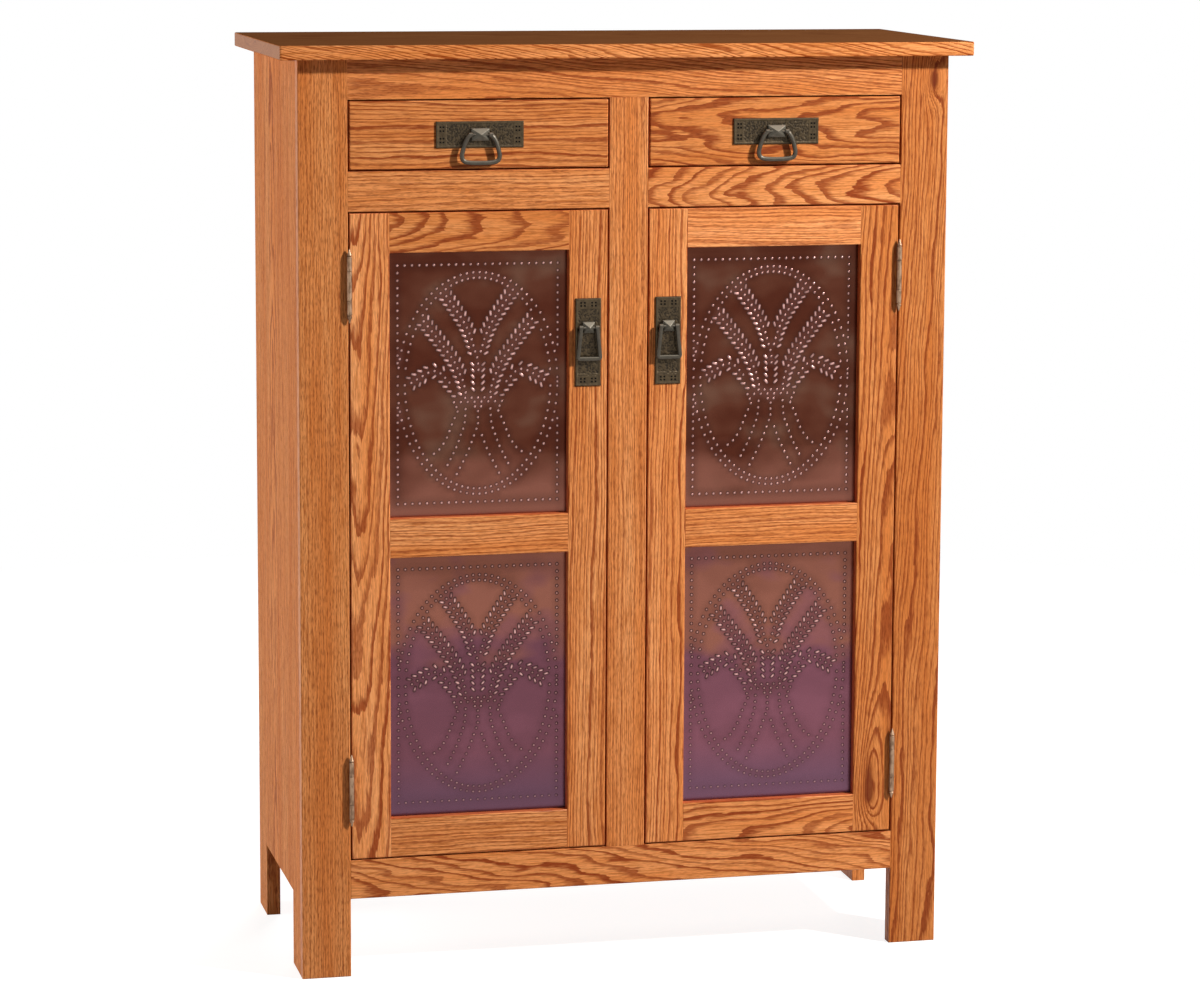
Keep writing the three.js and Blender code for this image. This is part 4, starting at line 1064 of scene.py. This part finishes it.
def boss(side, kind, base, reach):
    """A four-sided pyramid on a low plinth, with a blunt tip."""
    width, rise = BOSS_SIZES[kind]
    shape = Shape()
    levels = ((1.0, 0.4), (1.0, PLATE_THICKNESS), (0.95, BOSS_PLINTH), (BOSS_TIP / width, reach - 0.2))
    shape.skin([shape.ring([(base.x + sx * share * width / 2 * MM, base.y - out * MM,
                             base.z + sz * share * rise / 2 * MM)
                            for sx, sz in ((-1, -1), (1, -1), (1, 1), (-1, 1))])
                for share, out in levels], capped=True)
    shape.piece(f"{side}_{kind}_pull_boss", f"{side}_{kind}", "dark_bronze", bronze_boss, bevel=0.35 * MM,
                sharp=14)


BAIL_SHARES = {
    "drawer": ((0.54, 0), (0.68, 0.1), (0.84, 0.31), (0.96, 0.58), (1, 0.76), (0.9, 0.92), (0.6, 0.985),
               (0, 1)),
    "door": ((0.72, 0), (0.78, 0.2), (0.89, 0.58), (0.985, 0.9), (0.97, 0.975), (0.86, 0.998), (0.4, 1),
             (0, 1)),
}
BAIL_PITCH = 1.3
# How square the wire's section is, and its share of the wire's radius
BAIL_SECTIONS = {"drawer": (2.0, 0.98), "door": (3.4, 0.86)}
BAIL_SIDES = 24
PIN_RADIUS = 1.5
PIN_START = 3.0
PIN_SIDES = 16
EYE_HALF = 3.0
EYE_EDGE = 0.8


def barrel(radius, bottom, top, edge):
    """The profile of a cylinder with broken edges."""
    return [(0, bottom), (radius - edge, bottom), (radius, bottom + edge),
            (radius, top - edge), (radius - edge, top), (0, top)]


def bail(side, kind):
    """A bail of drawn wire, with an eye and a pin at each end, that hangs from the boss."""
    node = f"{side}_{kind}_bail"
    low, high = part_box(node)
    half_width = (high.x - low.x) / 2 / MM - WIRE_RADIUS
    drop = (high.z - low.z) / MM - 2 * WIRE_RADIUS
    half = [(across * half_width, -down * drop) for across, down in BAIL_SHARES[kind]]
    path = smooth_line(half + [(-x, z) for x, z in reversed(half[:-1])], BAIL_PITCH)[:, :2]
    pivot = in_mm((low.x + high.x) / 2, (low.y + high.y) / 2, high.z - WIRE_RADIUS * MM)
    squareness, share = BAIL_SECTIONS[kind]
    section = []
    for turn in angles(BAIL_SIDES, 0.5):
        reach = (abs(math.cos(turn)) ** squareness + abs(math.sin(turn)) ** squareness) ** (-1 / squareness)
        reach *= WIRE_RADIUS * share
        section.append((reach * math.cos(turn), reach * math.sin(turn)))
    shape = Shape()
    shape.sweep([tuple(point) for point in path], section, pivot)
    eye = half[0][0]
    for sign in (1, -1):
        turned = pivot @ at(sign * eye, 0, 0) @ Matrix.Rotation(sign * math.pi / 2, 4, "Y")
        shape.lathe(barrel(WIRE_RADIUS - 0.05, -EYE_HALF, EYE_HALF, EYE_EDGE), turned)
        shape.lathe([(0, PIN_START - eye), (PIN_RADIUS, PIN_START - eye), (PIN_RADIUS, 0), (0, 0)], turned,
                    PIN_SIDES)
    shape.piece(f"{node}_wire", f"{side}_{kind}_bail", "dark_bronze", bronze_bail, (node,))


# Hinges: three knuckles on a pin, a pointed finial at each end, and leaves with countersunk screws

BARREL_RADIUS = 3.5
BARREL_EDGE = 0.35
END_KNUCKLE_SHARE = 0.25
KNUCKLE_GAP = 0.4
HINGE_LENGTH = 77.0
LEAF_START = 3.8
LEAF_DEPTH = 14.0
LEAF_THICKNESS = 1.6
LEAF_GAP = 1.0
FINIAL = ((0, 0), (2.4, 0), (2.4, 1.1), (3.0, 1.5), (3.5, 2.4), (3.3, 3.0), (2.5, 5.0), (1.2, 8.6),
          (0.45, 10.7), (0, 11.0))
SCREW_LEVELS = (-30.0, 0.0, 30.0)
SCREW_SHARE = 0.58


def hinge_half(side, level, on_door):
    """One half of a hinge, in place of the plain one."""
    low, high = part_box(f"{side}_{level}_hinge_frame_leaf")
    node = f"{side}_{level}_hinge_{'door' if on_door else 'frame'}_leaf"
    body = f"{side}_door" if on_door else "case"
    toward = (1 if side == "left" else -1) * (1 if on_door else -1)
    axis = in_mm((low.x + high.x) / 2, low.y + BARREL_RADIUS * MM, (low.z + high.z) / 2)
    half = HINGE_LENGTH / 2
    inner = half - END_KNUCKLE_SHARE * HINGE_LENGTH
    knuckles = [(-inner, inner)] if on_door else [(inner + KNUCKLE_GAP, half), (-half, -inner - KNUCKLE_GAP)]
    near, far = sorted((toward * LEAF_GAP, toward * (LEAF_GAP + LEAF_THICKNESS)))
    shape = Shape()
    for bottom, top in knuckles:
        shape.lathe(barrel(BARREL_RADIUS, bottom, top, BARREL_EDGE), axis)
    if not on_door:
        for turn in (0, math.pi):
            shape.lathe(FINIAL, axis @ Matrix.Rotation(turn, 4, "X") @ at(0, 0, half - 0.2))
    shape.block(axis, (near, LEAF_START, -half), (far, LEAF_START + LEAF_DEPTH, half))
    for bottom, top in knuckles:
        shape.block(axis, (near, 0.0, bottom), (far, LEAF_START + 0.5, top))
    shape.piece(f"{node}_turned", body, "antique_nickel", nickel, (node,), bevel=0.12 * MM, sharp=35)
    facing = Matrix.Rotation(-toward * math.pi / 2, 4, "Y")
    for number, z in enumerate(SCREW_LEVELS):
        head = axis @ at(toward * (LEAF_GAP + 0.1), LEAF_START + LEAF_DEPTH * SCREW_SHARE, z) @ facing
        screw(f"{node}_screw_{number + 1}", body, head, 2.9, 0.35)


SCREW_SIDES = 24
SCREW_RINGS = 7
RECESS_HALF = 0.42
RECESS_SHARE = 0.62
RECESS_DEPTH = 0.9
SHANK_SHARE = 0.6
SHANK_DEPTH = 1.2


def screw(name, body, place, radius, crown):
    """A screw head with a cross recess. It stands up along a place's z axis, in millimetres."""
    shape = Shape()
    around = [(math.cos(turn), math.sin(turn)) for turn in angles(SCREW_SIDES)]
    rings = [shape.ring([(0, 0, crown - RECESS_DEPTH)], place)]
    for i in range(1, SCREW_RINGS + 1):
        reach = radius * i / SCREW_RINGS
        points = []
        for u, v in around:
            recessed = min(abs(reach * u), abs(reach * v)) < RECESS_HALF and reach < radius * RECESS_SHARE
            height = crown * (1 - (reach / radius) ** 2) - (RECESS_DEPTH if recessed else 0)
            points.append((reach * u, reach * v, height))
        rings.append(shape.ring(points, place))
    shank = radius * SHANK_SHARE
    rings.append(shape.ring([(shank * u, shank * v, -SHANK_DEPTH) for u, v in around], place))
    shape.skin(rings)
    shape.faces.append(rings[-1])
    shape.piece(name, body, "antique_nickel", nickel)


# Magnetic catches: a case under the rail that stops the doors, and a screwed strike on each door's back

CATCH_HALF_WIDTH = 21.0
CATCH_DROP = 11.0
CATCH_BACK = 2.1
POLE_REACH = 0.5
POLE_HALF_WIDTH = 17.0
POLE_LEVELS = ((-8.2, -7.0), (-4.2, -3.0))
STRIKE_HALF_WIDTH = 17.0
STRIKE_LEVELS = (-10.4, -1.0)
STRIKE_THICKNESS = 1.2
STRIKE_SCREW = 12.0


def catch(side):
    """The magnet case on the rail and its strike on the door."""
    rail_low, rail_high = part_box("door_stop_rail")
    stile_low, stile_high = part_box(f"{side}_door_lock_stile")
    spot = in_mm((stile_low.x + stile_high.x) / 2, stile_high.y, rail_low.z)
    case = Shape()
    case.block(spot, (-CATCH_HALF_WIDTH, CATCH_BACK, -CATCH_DROP),
               (CATCH_HALF_WIDTH, (rail_high.y - stile_high.y) / MM, 0))
    for bottom, top in POLE_LEVELS:
        case.block(spot, (-POLE_HALF_WIDTH, CATCH_BACK - POLE_REACH, bottom),
                   (POLE_HALF_WIDTH, CATCH_BACK + POLE_REACH, top))
    case.piece(f"{side}_catch_case", "case", "antique_nickel", nickel, bevel=0.15 * MM)
    strike = Shape()
    strike.block(spot, (-STRIKE_HALF_WIDTH, 0, STRIKE_LEVELS[0]),
                 (STRIKE_HALF_WIDTH, STRIKE_THICKNESS, STRIKE_LEVELS[1]))
    strike.piece(f"{side}_catch_strike", f"{side}_door", "antique_nickel", nickel, bevel=0.3 * MM)
    for number, x in enumerate((-STRIKE_SCREW, STRIKE_SCREW)):
        head = spot @ at(x, STRIKE_THICKNESS - 0.05, sum(STRIKE_LEVELS) / 2) @ BACKWARDS
        screw(f"{side}_catch_screw_{number + 1}", f"{side}_door", head, 2.2, 0.2)


# Camera, lamps, floor and world

CAMERA_PLACE = (-1204.06 * MM, -5099.64 * MM, 1475.57 * MM)
CAMERA_YAW = -13.343
CAMERA_PITCH = -7.901
CAMERA_ROLL = -0.262
CAMERA_LENS = 114.27
CAMERA_SHIFT_Y = -0.0833
# A key from the front right, a wide fill on the left side and a soft lamp behind: place, target, power,
# size and colour
LAMPS = {
    "key": ((2.75, -2.4, 2.8), (0, -0.18, 0.75), 226, 0.25, (1, 0.985, 0.96)),
    "fill": ((-4.0, 0.3, 1.4), (-0.44, 0, 0.7), 80, 1.4, (1, 0.96, 0.9)),
    "back": ((0.9, 3.8, 1.5), (0, 0.2, 0.7), 110, 1.6, (1, 1, 1)),
}
WHITE = (1.0, 1.0, 1.0, 1.0)
SOFT = (1.0, 0.98, 0.96, 1.0)
SOFT_LEVEL = 0.09
FLOOR_REACH = 60.0
FLOOR_GLOW = 0.84
SHADOW_NEAR = 1.2
SHADOW_FAR = 3.0
GRIT = (0.025, 0.025, 0.025)


def camera():
    """The photograph's camera."""
    data = bpy.data.cameras.new("camera")
    data.lens = CAMERA_LENS
    data.sensor_width = 36
    data.shift_y = CAMERA_SHIFT_Y
    made = link("camera", data)
    made.matrix_world = (
        at(*CAMERA_PLACE)
        @ Matrix.Rotation(math.radians(CAMERA_YAW), 4, "Z")
        @ Matrix.Rotation(math.radians(CAMERA_PITCH), 4, "X")
        @ Matrix.Rotation(math.radians(CAMERA_ROLL), 4, "Y")
        @ Matrix.Rotation(math.radians(90), 4, "X")
    )
    bpy.context.scene.camera = made


def lamp(name, place, target, power, size, colour):
    """A square area lamp that looks at a target."""
    data = bpy.data.lights.new(name, "AREA")
    data.energy = power
    data.size = size
    data.color = colour
    made = link(name, data)
    made.location = place
    made.rotation_mode = "QUATERNION"
    made.rotation_quaternion = (Vector(target) - Vector(place)).to_track_quat("-Z", "Y")


def world():
    """White for the camera and for reflections, and a plain soft level for everything else."""
    made = bpy.data.worlds.new("world")
    bpy.context.scene.world = made
    made.use_nodes = True
    made.node_tree.nodes.clear()
    g = Graph(made.node_tree)
    soft = g.add("Background", SOFT, SOFT_LEVEL).outputs[0]
    white = g.add("Background", WHITE, 1.0).outputs[0]
    g.add("OutputWorld", g.add("MixShader", seen(g), soft, white).outputs[0])


def seen(g):
    """1 for rays that the camera sees straight, by reflection or through glass."""
    path = g.add("LightPath").outputs
    direct = g.math("MAXIMUM", path["Is Camera Ray"], path["Is Glossy Ray"])
    return g.math("MAXIMUM", direct, path["Is Transmission Ray"])


def floor():
    """A pale floor that keeps the shadow near the object and runs out to white."""
    made, g = material("floor")
    spot = g.add("TexCoord").outputs["Object"]
    away = g.remap(g.length(spot), SHADOW_NEAR, SHADOW_FAR, 0.0, 1.0)
    grit = g.noise(spot, GRIT, detail=3)[0]
    paint, faint = (
        g.add("BsdfDiffuse", g.mix(grit, rgb(grey, grey, grey), rgb(grey + 6, grey + 6, grey + 6))).outputs[0]
        for grey in (176, 168)
    )
    near = g.add("AddShader", faint, g.add("Emission", WHITE, FLOOR_GLOW).outputs[0]).outputs[0]
    shown = g.add("MixShader", away, near, g.add("Emission", WHITE, 1.0).outputs[0]).outputs[0]
    g.add("OutputMaterial", g.add("MixShader", seen(g), paint, shown).outputs[0])
    mesh = bpy.data.meshes.new("floor")
    corners = [(x * FLOOR_REACH, y * FLOOR_REACH, 0) for x, y in ((-1, -1), (1, -1), (1, 1), (-1, 1))]
    mesh.from_pydata(corners, [], [(0, 1, 2, 3)])
    mesh.materials.append(made)
    plane = link("floor", mesh)
    plane.location.z = cad_low.z


camera()
world()
for name, settings in LAMPS.items():
    lamp(name, *settings)
floor()
dress_boards()
tins()
for side in SIDES:
    for kind in ("drawer", "door"):
        pull_plate(side, kind)
        bail(side, kind)
    catch(side)
    for level, on_door in product(("lower", "upper"), (False, True)):
        hinge_half(side, level, on_door)
bpy.context.scene.view_settings.view_transform = "Standard"
